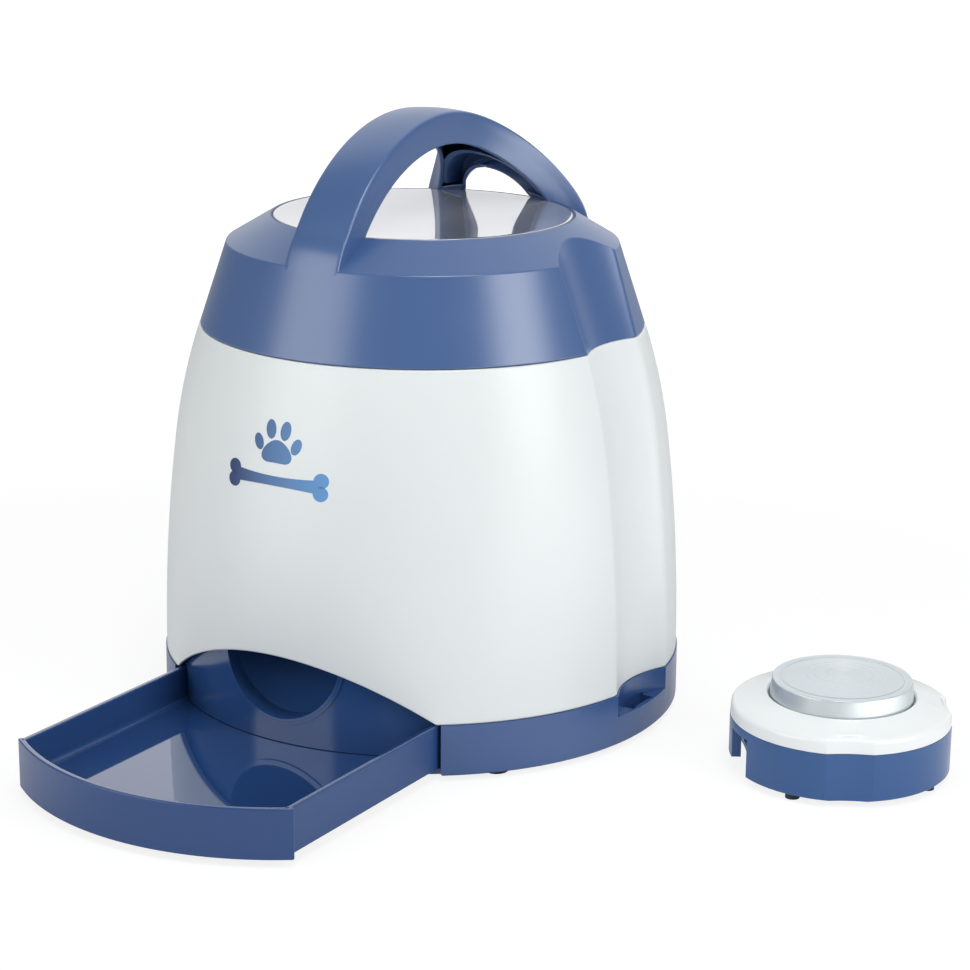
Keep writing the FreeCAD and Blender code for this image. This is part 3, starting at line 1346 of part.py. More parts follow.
def make_button():
    """The loose push button, modelled about its own axis with its tongue towards -X."""
    wall = dims.button_wall
    inner = dims.button_radius - wall
    floor_high = dims.button_low + 2.0
    seam = dims.button_seam
    base_notch = dims.base_radius + dims.dock_gap
    above = dims.ring_height + 10.0  # clear of the ring
    far = dims.scallop_depth + dims.scallop_radius
    below = dims.button_low - PAST
    edge = 0.6

    def grip_cuts(name):
        """Upright cylinders that hollow the finger grips."""
        return [cylinder("%s_%d" % (name, number), dims.scallop_radius, 0, above,
                         cosine(angle) * far, sine(angle) * far)
                for number, angle in enumerate(SCALLOP_ANGLES)]

    cup = turned("button_cup", [
        (0, dims.button_low),
        (dims.button_radius - edge, dims.button_low),
        (dims.button_radius, dims.button_low + edge),
        (dims.button_radius, seam),
        (inner, seam),
        (inner, floor_high),
        (0, floor_high),
    ])
    notch = cylinder("button_notch", base_notch, below, dims.notch_top, -dock_x)
    tongue_root = dims.notch_top + 2 * SUNK
    tongue_ring = tube("tongue_ring", dims.button_radius, inner, dims.tongue_low, tongue_root)
    tongue_box = block("tongue_box", -dims.button_radius - PAST, -inner / 2, -dims.tongue_half,
                       dims.tongue_half, dims.tongue_low, tongue_root)
    tongue = common("button_tongue", tongue_ring, tongue_box)
    posts = []
    holes = []
    screws = []
    post_circle = inner - 4.2
    post_radius = 2.6
    post_top = seam + 1.5
    head_low = dims.button_low + 0.1
    head_top = dims.button_low + 1.2
    hole_top = seam - 5.0
    stem_top = seam - 6.0
    for number, angle in enumerate(BUTTON_SCREW_ANGLES):
        x = cosine(angle) * post_circle
        y = sine(angle) * post_circle
        holes.append(cylinder("button_hole_%d" % number, close_radius, below, floor_high + PAST, x, y))
        posts.append(cylinder("ring_post_%d" % number, post_radius, floor_high, post_top, x, y))
        holes.append(cylinder("button_recess_%d" % number, dims.screw_head + 0.2, below, head_top, x, y))
        screws.append(screw("button_screw_%d" % number, head_low, head_top, stem_top, x, y))
    door_x = 20.0
    door_y = 13.0
    door_cut = block("button_door_cut", -door_x, door_x, -door_y, door_y, 0, floor_high + PAST)
    body = cut("button_cup_cut", cup, notch)
    body = cut("button_cup_grip", fuse("button_cup_tongue", body, tongue), *grip_cuts("grip_cut"),
               door_cut, *holes)
    pieces = [(body, "button_base")]

    bore = dims.cap_radius + dims.cap_gap
    lip_low = dims.ring_height - 2.4
    lip_reach = 3.5
    ring_edge = dims.button_radius - 0.1
    shoulder = seam + 2.6
    rounded_top = shoulder + 2.4
    underside = seam + 2.2
    skirt_outer = inner - 0.25
    skirt_inner = skirt_outer - 1.4
    skirt_low = seam - 3.0
    ring = turned("ring_turned", [
        (ring_edge, seam),
        (ring_edge - 0.3, shoulder),
        (ring_edge - dims.ring_round, rounded_top, dims.ring_round, 1),
        (bore + dims.ring_bore_round, dims.ring_height),
        (bore, dims.ring_height - dims.ring_bore_round, dims.ring_bore_round, 1),
        (bore, lip_low),
        (bore + lip_reach, lip_low),
        (skirt_inner, underside),
        (skirt_inner, skirt_low),
        (skirt_outer, skirt_low),
        (skirt_outer, seam),
    ])
    notch_cover = 1.7  # wall that closes the docking notch
    notch_wall = base_notch + 0.1
    dock_wall = common(
        "dock_wall",
        tube("dock_wall_ring", notch_wall + notch_cover, notch_wall, floor_high + 0.2, post_top, -dock_x),
        cylinder("dock_wall_limit", skirt_outer - 0.3, floor_high, post_top + PAST),
    )
    pilots = []
    for number, angle in enumerate(BUTTON_SCREW_ANGLES):
        pilots.append(cylinder("ring_pilot_%d" % number, pilot_radius, floor_high - PAST, hole_top,
                               cosine(angle) * post_circle, sine(angle) * post_circle))
    ring_body = cut("ring_cut", fuse("ring_joined", ring, dock_wall, *posts),
                    *grip_cuts("ring_grip_cut"), *pilots)
    pieces.append((ring_body, "button_ring"))

    flange_high = lip_low - 0.3
    flange_low = flange_high - 1.6
    flange_reach = bore + 1.8
    crown_rise = dims.cap_crown - dims.cap_edge
    crown_reach = dims.cap_top_radius - dims.cap_round
    dome = (crown_reach * crown_reach + crown_rise * crown_rise) / (crown_rise * 2)
    skin = dims.cap_skin
    pieces.append((turned("cap_turned", [
        (dims.cap_radius - skin, flange_high),
        (dims.cap_radius, flange_high),
        (dims.cap_radius, dims.ring_height),
        (dims.cap_top_radius, dims.cap_edge - dims.cap_round),
        (crown_reach, dims.cap_edge, dims.cap_round, 1),
        (0, dims.cap_crown, dome, 1),
        (0, dims.cap_crown - skin),
        (dims.cap_top_radius - skin, dims.cap_edge - skin, dome, -1),
    ]), "button_cap"))
    disc_high = dims.cap_edge - skin - 0.3
    disc_low = disc_high - 0.8
    rim = dims.cap_top_radius - skin - 0.2
    rim_inner = rim - 1.5
    pieces.append((cylinder("insert_disc", rim, disc_low, disc_high), "cap_insert"))
    plunger_low = flange_low - 0.6
    plunger_radius = 4.0
    pieces.append((turned("carrier_turned", [
        (0, plunger_low),
        (plunger_radius, plunger_low),
        (plunger_radius, flange_low),
        (flange_reach, flange_low),
        (flange_reach, flange_high),
        (rim, flange_high),
        (rim, disc_low),
        (rim_inner, disc_low),
        (rim_inner, flange_high),
        (0, flange_high),
    ]), "cap_carrier"))

    board_low = seam - 3.2
    board_high = board_low + 1.2
    board_radius = 26.0
    switch_half = 3.0
    switch_gap = 0.15  # left under the plunger when the cap is down
    board = cylinder("button_board_disc", board_radius, board_low, board_high)
    pieces.append((board, "button_board"))
    switch_high = plunger_low - dims.cap_travel - switch_gap
    pieces.append((block("tact_block", -switch_half, switch_half, -switch_half, switch_half,
                         board_high, switch_high), "tact_switch"))
    pieces.append((tube("spring_coil", dims.spring_radius, dims.spring_radius - dims.spring_wire,
                        board_high, flange_low), "return_spring"))

    cells = []
    cell_middle = floor_high + 0.4 + dims.small_cell_radius
    cell_start = -dims.small_cell_length / 2 + 1.0
    cell_pitch = dims.small_cell_radius * 2 + 0.8
    for number in range(2):
        y = cell_pitch * (number - 0.5)
        cell = doc.addObject("Part::Cylinder", "small_cell_%d" % number)
        bind(cell, "Radius", dims.small_cell_radius)
        bind(cell, "Height", dims.small_cell_length)
        move(cell, cell_start, y, cell_middle, Rotation(Vector(0, 1, 0), 90))
        cells.append(cell)
    pieces.append((gather("small_cell_set", *cells), "button_batteries"))
    plates = []
    plate_thick = 0.5
    plate_gap = 0.3
    plate_half = 9.0
    cell_end = cell_start + dims.small_cell_length
    for name, x in (("near", cell_start - plate_gap - plate_thick), ("far", cell_end + plate_gap)):
        plates.append(block("small_contact_" + name, x, x + plate_thick, -plate_half, plate_half,
                            floor_high, cell_middle + 4.5))
    pieces.append((gather("small_contact_set", *plates), "button_contacts"))
    door_gap = 0.25
    door = block("button_door_plate", -door_x + door_gap, door_x - door_gap, -door_y + door_gap,
                 door_y - door_gap, dims.button_low, floor_high)
    pieces.append((door, "button_battery_door"))
    pieces.append((gather("button_screw_set", *screws), "button_screws"))
    feet = []
    foot_radius = 2.6
    foot_circle = inner - 1.4
    for number, angle in enumerate(BUTTON_FOOT_ANGLES):
        feet.append(cylinder("button_foot_%d" % number, foot_radius, 0, dims.button_low,
                             cosine(angle) * foot_circle, sine(angle) * foot_circle))
    pieces.append((gather("button_foot_set", *feet), "button_feet"))

    spin = Rotation(Vector(0, 0, 1), dims.button_turn.value)
    for piece, label in pieces:
        stand = doc.addObject("Part::Compound", label + "_stand")
        stand.Links = [piece]
        move(stand, dims.button_x, dims.button_y, 0, spin)
        bind(stand, "Placement.Rotation.Angle", dims.button_turn)
        finish(stand, label)


make_base()
make_tray()
make_chute()
make_housing()
make_hopper()
make_gears()
make_electrics()
make_cover()
make_button()

doc.recompute()

faults = []
for item in doc.Objects:
    if "Invalid" in item.State or "Error" in item.State:
        faults.append("%s (%s): %s" % (item.Name, item.TypeId, item.State))
for piece in sub_parts:
    if piece.Shape.isNull() or not piece.Shape.isValid() or not piece.Shape.Solids:
        faults.append("%s has no valid solid" % piece.Label)
if faults:
    raise RuntimeError("\n".join(faults))

os.makedirs("parts", exist_ok=True)
for piece in sub_parts:
    piece.Shape.exportStep("parts/%s.step" % piece.Label)
    print(piece.Label, len(piece.Shape.Solids), "solids", round(piece.Shape.Volume / 1000, 2), "cm3")
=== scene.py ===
# %% [markdown]
# # A treat-dispensing dog puzzle toy
# The toy is a white dispenser with a blue base, drawer and lid, and a loose push button.
# The frame brings every piece at its real size, so this lesson is about surfaces, finishes
# and light.

# %% Load the frame
import math
import bmesh
import bpy
import numpy as np
from mathutils import Matrix, Vector


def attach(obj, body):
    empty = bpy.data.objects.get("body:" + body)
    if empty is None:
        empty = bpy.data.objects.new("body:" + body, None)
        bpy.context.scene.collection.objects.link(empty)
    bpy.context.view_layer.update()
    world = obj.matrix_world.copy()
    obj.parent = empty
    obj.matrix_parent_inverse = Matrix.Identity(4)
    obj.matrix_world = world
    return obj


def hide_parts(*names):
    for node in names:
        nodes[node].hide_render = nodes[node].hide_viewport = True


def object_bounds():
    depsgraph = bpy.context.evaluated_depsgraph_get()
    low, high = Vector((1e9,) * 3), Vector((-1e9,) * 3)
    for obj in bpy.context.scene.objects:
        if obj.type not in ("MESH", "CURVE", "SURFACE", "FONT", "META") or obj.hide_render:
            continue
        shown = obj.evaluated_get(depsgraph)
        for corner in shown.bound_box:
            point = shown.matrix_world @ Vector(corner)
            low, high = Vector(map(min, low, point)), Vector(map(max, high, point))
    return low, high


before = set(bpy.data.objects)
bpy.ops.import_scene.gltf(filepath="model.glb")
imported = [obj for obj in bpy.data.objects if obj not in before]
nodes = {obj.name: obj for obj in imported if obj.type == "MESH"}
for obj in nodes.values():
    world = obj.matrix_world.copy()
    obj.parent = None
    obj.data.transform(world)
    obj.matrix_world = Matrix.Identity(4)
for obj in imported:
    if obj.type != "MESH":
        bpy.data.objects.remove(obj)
cad_low, cad_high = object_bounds()
MM = 0.001
box = [round(v, 3) for v in cad_high - cad_low]
print("frame holds", len(nodes), "nodes; its box is", box, "m")


def new_object(name, data):
    """A new object of the scene with the given data, at the origin."""
    thing = bpy.data.objects.new(name, data)
    bpy.context.scene.collection.objects.link(thing)
    return thing


# %% [markdown]
# The camera stands where the photographer stood. Its place was worked out from the ellipses
# of the round parts: a long lens, a little above the dispenser and to the right of its front.

# %% Camera
CAMERA_PLACE = (0.52935, -0.82051, 0.35729)
CAMERA_RIGHT = (0.85233, 0.52292, 0.00881)
CAMERA_UP = (-0.14839, 0.22563, 0.96285)
CAMERA_BACK = (0.50151, -0.82197, 0.26991)
FOCAL_LENGTH_MM, SENSOR_WIDTH_MM = 97.25, 36.0
PHOTO_WIDTH, SHIFT = 970, (-0.9, -1.5)  # in pixels

camera_data = bpy.data.cameras.new("photo_camera")
camera_data.lens = FOCAL_LENGTH_MM
camera_data.sensor_width = SENSOR_WIDTH_MM
camera_data.clip_start, camera_data.clip_end = 0.05, 20.0
camera_data.shift_x, camera_data.shift_y = SHIFT[0] / PHOTO_WIDTH, SHIFT[1] / PHOTO_WIDTH
camera = new_object("photo_camera", camera_data)
turn = Matrix((CAMERA_RIGHT, CAMERA_UP, CAMERA_BACK)).transposed()
camera.matrix_world = Matrix.Translation(CAMERA_PLACE) @ turn.to_4x4()
bpy.context.scene.camera = camera
bpy.context.scene.view_settings.view_transform = "Standard"
print("camera stands", round(Vector(CAMERA_PLACE).length, 3), "m from the dispenser's foot")

# %% [markdown]
# Product photographs of this kind are taken on a white sweep between large softboxes. The
# floor is pale, and towards the camera it glows a little, so that it stays white while the
# object's shadow still shows. For glossy rays the floor also glows in painted reflections of
# the softboxes, so that upright walls show highlights as if a glossy table mirrored the lamps.

# %% Helpers for colours and nodes
WHITE = (1, 1, 1, 1)


def linear(hex_colour):
    """The linear colour (r, g, b, 1) of an sRGB hex value, by the standard's two-part curve."""
    parts = [int(hex_colour[i:i + 2], 16) / 255 for i in (1, 3, 5)]
    curve = [c / 12.92 if c <= 0.04045 else ((c + 0.055) / 1.055) ** 2.4 for c in parts]
    return (*curve, 1.0)


def darker(hex_colour, share):
    """The linear colour of an sRGB hex value, dimmed to a share."""
    return (*(c * share for c in linear(hex_colour)[:3]), 1.0)


def add_node(tree, kind, values=None, links=None, **settings):
    """Adds a shader node, sets its own settings and its sockets' values, and links its inputs."""
    node = tree.nodes.new("ShaderNode" + kind)
    for name, setting in settings.items():
        setattr(node, name, setting)
    for socket, value in (values or {}).items():
        node.inputs[socket].default_value = value
    for socket, source in (links or {}).items():
        tree.links.new(source, node.inputs[socket])
    return node


def ramp(tree, value, low, high, **settings):
    """A clamped ramp of a socket's value, from low to high, each (value, result)."""
    ends = {"From Min": low[0], "To Min": low[1], "From Max": high[0], "To Max": high[1]}
    return add_node(tree, "MapRange", ends, {"Value": value}, **settings).outputs["Result"]


def maths(tree, operation, a, b):
    """The result of a maths node on two sockets."""
    return add_node(tree, "Math", links={0: a, 1: b}, operation=operation).outputs[0]


def vector_maths(tree, operation, vector, constant=(0, 0, 0)):
    """The result of a vector maths node on a socket and a constant vector."""
    node = add_node(tree, "VectorMath", {1: constant}, {0: vector}, operation=operation)
    return node.outputs["Value" if operation in ("LENGTH", "DOT_PRODUCT") else "Vector"]


def mixed_colour(tree, factor, low, high):
    """A colour between two, by a socket's value."""
    return add_node(tree, "Mix", {"A": low, "B": high}, {"Factor": factor},
                    data_type="RGBA").outputs["Result"]


def noise(tree, place, size_mm, detail):
    """Noise with features of a size in mm, at places from a socket."""
    return add_node(tree, "TexNoise", {"Scale": 1 / (size_mm * MM), "Detail": detail},
                    {"Vector": place}).outputs["Fac"]


def object_place(tree):
    """Places on the object, so that a pattern moves along with it."""
    return add_node(tree, "TexCoord").outputs["Object"]


def ray_kinds(tree):
    """The light path's node, and a socket that is 1 on rays that come from the camera."""
    path = add_node(tree, "LightPath")
    return path, maths(tree, "MAXIMUM", path.outputs["Is Camera Ray"],
                       path.outputs["Is Transmission Ray"])


def close_tree(tree, shader, kind="OutputMaterial"):
    """Ends a node tree with a shader as its surface."""
    add_node(tree, kind, links={"Surface": shader.outputs[0]})


def new_material(name):
    """An empty node material, and its tree."""
    material = bpy.data.materials.new(name)
    material.use_nodes = True
    material.node_tree.nodes.clear()
    return material, material.node_tree


# %% Floor
FLOOR_HALF = 3.0
FLOOR_GREY = "#E9E9E9"
# distances from the dispenser in metres, each with a level
GLOW_NEAR, GLOW_FAR = (0.3, 0.84), (0.9, 1.0)
PAINTED_REFLECTION_NEAR, PAINTED_REFLECTION_FAR = (0.18, 0.06), (0.6, 1.0)
# painted softbox reflections that glow on the floor: azimuth, inner and outer half angle, strength
PAINTED_SOFTBOX_REFLECTIONS = ((84, 15, 34, 2.0), (-32, 8, 24, 1.5))

floor_mesh = bpy.data.meshes.new("studio_floor")
corners = [(x * FLOOR_HALF, y * FLOOR_HALF, 0) for x, y in ((-1, -1), (1, -1), (1, 1), (-1, 1))]
floor_mesh.from_pydata(corners, [], [(0, 1, 2, 3)])
floor = new_object("studio_floor", floor_mesh)

floor_material, tree = new_material("white_sweep")
path, seen = ray_kinds(tree)
place = object_place(tree)
away = vector_maths(tree, "LENGTH", place)
towards = vector_maths(tree, "NORMALIZE", place)
weak_matte = add_node(tree, "BsdfDiffuse", {"Color": (0.2, 0.2, 0.2, 1)})
glow = add_node(tree, "Emission", {"Color": WHITE},
                {"Strength": ramp(tree, away, GLOW_NEAR, GLOW_FAR)})
white = add_node(tree, "AddShader", links={0: weak_matte.outputs[0], 1: glow.outputs[0]})
# painted reflection: the floor glows in bands at the softboxes' azimuths, for glossy rays only and
# weaker near the dispenser
painted_reflection_levels = []
for azimuth, inner, outer, strength in PAINTED_SOFTBOX_REFLECTIONS:
    angle = math.radians(azimuth)
    along = vector_maths(tree, "DOT_PRODUCT", towards, (math.sin(angle), -math.cos(angle), 0))
    painted_reflection_levels.append(ramp(tree, along, (math.cos(math.radians(outer)), 0.0),
                       (math.cos(math.radians(inner)), strength), interpolation_type="SMOOTHSTEP"))
painted_reflection_and_room_gloss = maths(tree, "MULTIPLY", maths(tree, "ADD", *painted_reflection_levels), path.outputs["Is Glossy Ray"])
painted_reflection_and_room_gloss = maths(tree, "MULTIPLY", painted_reflection_and_room_gloss, ramp(tree, away, PAINTED_REFLECTION_NEAR, PAINTED_REFLECTION_FAR))
painted_reflection = add_node(tree, "Emission", {"Color": WHITE}, {"Strength": painted_reflection_and_room_gloss})
matte = add_node(tree, "BsdfDiffuse", {"Color": linear(FLOOR_GREY)})
matte_and_painted_reflection = add_node(tree, "AddShader",
                 links={0: matte.outputs[0], 1: painted_reflection.outputs[0]})
close_tree(tree, add_node(tree, "MixShader",
                          links={0: seen, 1: matte_and_painted_reflection.outputs[0], 2: white.outputs[0]}))
floor_mesh.materials.append(floor_material)
print("floor is", 2 * FLOOR_HALF, "m wide")

# %% [markdown]
# The room is white only behind the object. A glossy surface mirrors that white at its rims,
# where the eye looks along it, and mirrors the dimmer studio elsewhere. This gives the dark
# blue fields between the highlights that the photograph shows.

# %% World
WHITE_SIDE = (-0.3, 0.8, 0.52)
# how far a direction points to the white side, each with the level that gloss mirrors there
STUDIO_DIM, STUDIO_WHITE = (0.6, 0.22), (0.85, 1.05)
ROOM_LEVEL, ROOM_COLOUR = 0.38, (0.97, 0.98, 1.0, 1)

world = bpy.data.worlds.new("studio")
bpy.context.scene.world = world
world.use_nodes = True
tree = world.node_tree
tree.nodes.clear()
path, seen = ray_kinds(tree)
direction = add_node(tree, "TexCoord").outputs["Generated"]
painted_reflection_and_room_gloss = ramp(tree, vector_maths(tree, "DOT_PRODUCT", direction, WHITE_SIDE),
                STUDIO_DIM, STUDIO_WHITE)
level = add_node(tree, "Mix", {2: ROOM_LEVEL},
                 {0: path.outputs["Is Glossy Ray"], 3: painted_reflection_and_room_gloss}, data_type="FLOAT")
room = add_node(tree, "Background", {"Color": ROOM_COLOUR},
                {"Strength": level.outputs["Result"]})
backdrop = add_node(tree, "Background", {"Color": WHITE, "Strength": 1.0})
close_tree(tree, add_node(tree, "MixShader",
                          links={0: seen, 1: room.outputs[0], 2: backdrop.outputs[0]}),
           "OutputWorld")

# %% Softboxes
LAMP_TARGET = Vector((0.02, 0, 0.1))


def softbox(name, azimuth, elevation, distance, width, height, power):
    """A rectangular area light that faces the target; azimuth 0 is the front, sizes in metres."""
    data = bpy.data.lights.new(name, "AREA")
    data.shape = "RECTANGLE"
    data.size, data.size_y = width, height
    data.energy = power
    lamp = new_object(name, data)
    turn_angle, rise = math.radians(azimuth), math.radians(elevation)
    back = Vector((math.sin(turn_angle) * math.cos(rise), -math.cos(turn_angle) * math.cos(rise),
                   math.sin(rise)))
    lamp.location = LAMP_TARGET + back * distance
    lamp.rotation_euler = (-back).to_track_quat("-Z", "Y").to_euler()
    return lamp


lamps = [softbox("key_softbox", 85, 20, 1.6, 0.75, 1.2, 10.8),
         softbox("fill_softbox", -28, 15, 1.7, 1.2, 1.4, 11.2),
         softbox("top_softbox", 50, 66, 1.6, 0.6, 0.6, 8)]
print("lit by", [lamp.name for lamp in lamps])

# %% [markdown]
# Nearly every surface is injection-moulded ABS. It has an IOR of about 1.54 and a skin that
# copies the mould: satin outside, and polished in the drawer.

# %% Moulded plastics
ABS_IOR = 1.54
CLOUD_MM, RING_MM, SCUFF_MM = 25, 0.4, 8  # patches of gloss, rings on turned metal, scuffs
BUTTON_CENTRE = (173.9, 11.25)  # the push button's upright axis, in mm


def moulded_plastic(name, colour, roughness, grain_mm=0.6, grain_height_mm=0.004, ior=ABS_IOR,
                    patchy=0.03, shine=0.5):
    """A satin plastic: one dyed colour, a fine mould grain as bump, and slightly uneven gloss."""
    material, tree = new_material(name)
    place = object_place(tree)
    cloud = noise(tree, place, CLOUD_MM, 2.0)
    gloss = ramp(tree, cloud, (0.1, roughness - patchy), (0.9, roughness + patchy))
    bump = add_node(tree, "Bump", {"Strength": 0.12, "Distance": grain_height_mm * MM},
                    {"Height": noise(tree, place, grain_mm, 3.0)})
    close_tree(tree, add_node(
        tree, "BsdfPrincipled", {"IOR": ior, "Specular IOR Level": shine},
        {"Base Color": mixed_colour(tree, cloud, darker(colour, 0.97), linear(colour)),
         "Roughness": gloss, "Normal": bump.outputs["Normal"]}))
    return material


abs_white = moulded_plastic("abs_white_satin", "#E3E8E8", 0.32)
abs_blue = moulded_plastic("abs_blue_satin", "#3F5F92", 0.30, shine=1.0)
abs_blue_base = moulded_plastic("abs_blue_base", "#33548A", 0.2, grain_height_mm=0.002, shine=0.8)
abs_blue_deep = moulded_plastic("abs_blue_polished", "#2B4C80", 0.14, grain_height_mm=0.001,
                                shine=0.8)
abs_ring = moulded_plastic("abs_white_gloss", "#EEF2F2", 0.22)
abs_blue_button = moulded_plastic("abs_blue_button", "#33598F", 0.24, grain_height_mm=0.002,
                                  shine=0.4)


def polished_up_plastic(name, colour, roughness, polished):
    """Moulded plastic whose upward faces are polished, as a drawer's floor and rims are."""
    material = moulded_plastic(name, colour, roughness, grain_height_mm=0.0015, patchy=0.01)
    tree = material.node_tree
    shell = next(node for node in tree.nodes if node.type == "BSDF_PRINCIPLED")
    facing = add_node(tree, "NewGeometry")
    parts = add_node(tree, "SeparateXYZ", links={"Vector": facing.outputs["Normal"]})
    up = ramp(tree, parts.outputs["Z"], (0.75, 0.0), (0.97, 1.0))
    gloss = shell.inputs["Roughness"].links[0].from_socket
    level = add_node(tree, "Mix", {3: polished}, {0: up, 2: gloss}, data_type="FLOAT")
    tree.links.new(level.outputs["Result"], shell.inputs["Roughness"])
    tree.links.new(up, shell.inputs["Coat Weight"])
    return material


def brushed_metal(name, colour, roughness, centre):
    """Metallised plastic turned in fine circles about an upright axis: rings in gloss and bump."""
    material, tree = new_material(name)
    offset = vector_maths(tree, "ADD", object_place(tree), (-centre[0] * MM, -centre[1] * MM, 0.0))
    flat = vector_maths(tree, "MULTIPLY", offset, (1.0, 1.0, 0.0))
    rings = add_node(tree, "TexNoise", {"Scale": 1 / (RING_MM * MM), "Detail": 1.0},
                     {"W": vector_maths(tree, "LENGTH", flat)}, noise_dimensions="1D")
    rings = rings.outputs["Fac"]
    bump = add_node(tree, "Bump", {"Strength": 0.05, "Distance": 0.004 * MM},
                    {"Height": rings})
    close_tree(tree, add_node(
        tree, "BsdfPrincipled",
        {"Base Color": linear(colour), "Metallic": 0.6, "Anisotropic": 0.75},
        {"Roughness": ramp(tree, rings, (0.0, roughness - 0.02), (1.0, roughness + 0.03)),
         "Normal": bump.outputs["Normal"],
         "Tangent": vector_maths(tree, "CROSS_PRODUCT", flat, (0.0, 0.0, 1.0))}))
    return material


abs_drawer = polished_up_plastic("abs_blue_drawer", "#28487C", 0.28, 0.05)
brushed_cap = brushed_metal("metallised_cap_turned", "#D5DCDF", 0.28, BUTTON_CENTRE)


def clear_plastic(name, colour, roughness, ior, clear):
    """A polished plastic that light passes through, with fine scuffs from cleaning in its gloss."""
    material, tree = new_material(name)
    scuffs = noise(tree, object_place(tree), SCUFF_MM, 4.0)
    close_tree(tree, add_node(
        tree, "BsdfPrincipled",
        {"Base Color": linear(colour), "IOR": ior, "Transmission Weight": clear,
         "Specular IOR Level": 1.0, "Coat Weight": 1.0, "Coat IOR": ior, "Coat Roughness": 0.01},
        {"Roughness": ramp(tree, scuffs, (0.0, roughness), (1.0, roughness + 0.02))}))
    return material


clear_styrene = clear_plastic("styrene_clear_polished", "#F2F6FF", 0.02, 1.59, 0.66)

# %% [markdown]
# A moulded piece is easiest to describe as a grid of points. One direction runs round the
# piece or along it, and the other runs round its wall. Three helpers do most of the work.
# The first turns a grid into a mesh, the second rounds the corners of an outline, and the
# third fills long straight runs with points so that the wall can bend there.

# %% Grid, rounded outline, filled outline
LARGEST_END = 100  # sides; the drawer's two hidden ends have more and stay open
SAME_POINT, NO_LENGTH = 2e-6, 1e-7  # in metres


def grid_quads(rows, columns, wrap):
    """Quads that join each corner of a grid to its neighbours in the next row and column."""
    first = np.arange(rows if wrap[0] else rows - 1)
    second = np.arange(columns if wrap[1] else columns - 1)
    i, j = np.meshgrid(first, second, indexing="ij")
    k, m = (i + 1) % rows, (j + 1) % columns
    quads = [i * columns + j, k * columns + j, k * columns + m, i * columns + m]
    return np.stack(quads, axis=-1).reshape(-1, 4)


def surface(name, points, material, body, wrap=(True, True)):
    """A mesh from a grid of points (rows, columns, 3) in mm.

    A wrapped direction joins its last line to its first.
    """
    quads = grid_quads(*points.shape[:2], wrap)
    return skin(name, points.reshape(-1, 3), quads, material, body)


def skin(name, corners, quads, material, body):
    """A smooth mesh from corners in mm and quads, riding on a body and given a material.

    Doubled points at poles and seams are merged. Open ends get a flat face with a sharp rim, and
    the faces are turned outwards.
    """
    mesh = bpy.data.meshes.new(name)
    mesh.from_pydata(np.asarray(corners, float) * MM, [], quads.tolist())
    mesh.shade_smooth()
    shape = bmesh.new()
    shape.from_mesh(mesh)
    bmesh.ops.remove_doubles(shape, verts=shape.verts, dist=SAME_POINT)
    bmesh.ops.dissolve_degenerate(shape, edges=shape.edges, dist=NO_LENGTH)
    rim = [edge for edge in shape.edges if edge.is_boundary]
    for edge in rim:
        edge.smooth = False
    bmesh.ops.holes_fill(shape, edges=rim, sides=LARGEST_END)
    bmesh.ops.recalc_face_normals(shape, faces=shape.faces)
    shape.to_mesh(mesh)
    shape.free()
    mesh.materials.append(material)
    thing = new_object(name, mesh)
    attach(thing, body)
    return thing


def rounded(corners, radii, steps=4):
    """Outlines (..., n, 2) with each corner replaced by a circular arc of its radius.

    The arc touches both edges at radius / tan(half the corner's angle) from the corner, but at
    0.4 of an edge at most, and is drawn as a rational quadratic curve. A point a little outside
    each end keeps the flat sides flat when they are shaded.
    """
    corners = np.asarray(corners, float)
    radii = np.broadcast_to(np.asarray(radii, float), corners.shape[:-1])
    back = np.roll(corners, 1, axis=-2) - corners
    ahead = np.roll(corners, -1, axis=-2) - corners
    back_length = np.maximum(np.linalg.norm(back, axis=-1, keepdims=True), 1e-9)
    ahead_length = np.maximum(np.linalg.norm(ahead, axis=-1, keepdims=True), 1e-9)
    back, ahead = back / back_length, ahead / ahead_length
    half = np.arccos(np.clip((back * ahead).sum(-1, keepdims=True), -0.9999, 0.9999)) / 2
    reach = np.minimum(radii[..., None] / np.tan(half),
                       0.4 * np.minimum(back_length, ahead_length))
    t = np.linspace(0, 1, steps + 1)[:, None]
    start, end = corners + back * reach, corners + ahead * reach
    weight = np.sin(half)[..., None, :]
    lower = (1 - t) ** 2 + 2 * t * (1 - t) * weight + t ** 2
    arc = ((1 - t) ** 2 * start[..., None, :] + 2 * t * (1 - t) * weight * corners[..., None, :]
           + t ** 2 * end[..., None, :]) / lower
    before = (corners + back * reach * 1.2)[..., None, :]
    after = (corners + ahead * reach * 1.2)[..., None, :]
    arc = np.concatenate([before, arc, after], axis=-2)
    return arc.reshape(*arc.shape[:-3], -1, 2)


def filled(outline, longest):
    """A closed outline (n, 2) with points added evenly on each run that is longer than given."""
    following = np.roll(outline, -1, axis=0)
    lengths = np.linalg.norm(following - outline, axis=1)
    counts = np.maximum(np.ceil(lengths / longest), 1).astype(int)
    which = np.repeat(np.arange(len(outline)), counts)
    first = np.repeat(np.cumsum(counts) - counts, counts)
    share = (np.arange(counts.sum()) - first) / counts[which]
    return outline[which] + (following - outline)[which] * share[:, None]


def stacked(*parts):
    """Points from their coordinates, which are numbers or arrays that fit one another."""
    return np.stack(np.broadcast_arrays(*parts), axis=-1)


def turned(angles, radius, height, centre=(0.0, 0.0)):
    """Points (x, y, z) from angles in degrees, radii and heights, round an upright axis."""
    turn_by = np.radians(angles)
    return stacked(centre[0] + radius * np.cos(turn_by), centre[1] + radius * np.sin(turn_by),
                   height)


def dense(start, end, step, *bands):
    """Values from start to end at a step, with finer bands given as (from, to, step)."""
    parts = [np.arange(start, end + step / 2, step)] + [np.arange(a, b, s) for a, b, s in bands]
    return np.unique(np.round(np.concatenate(parts), 4))


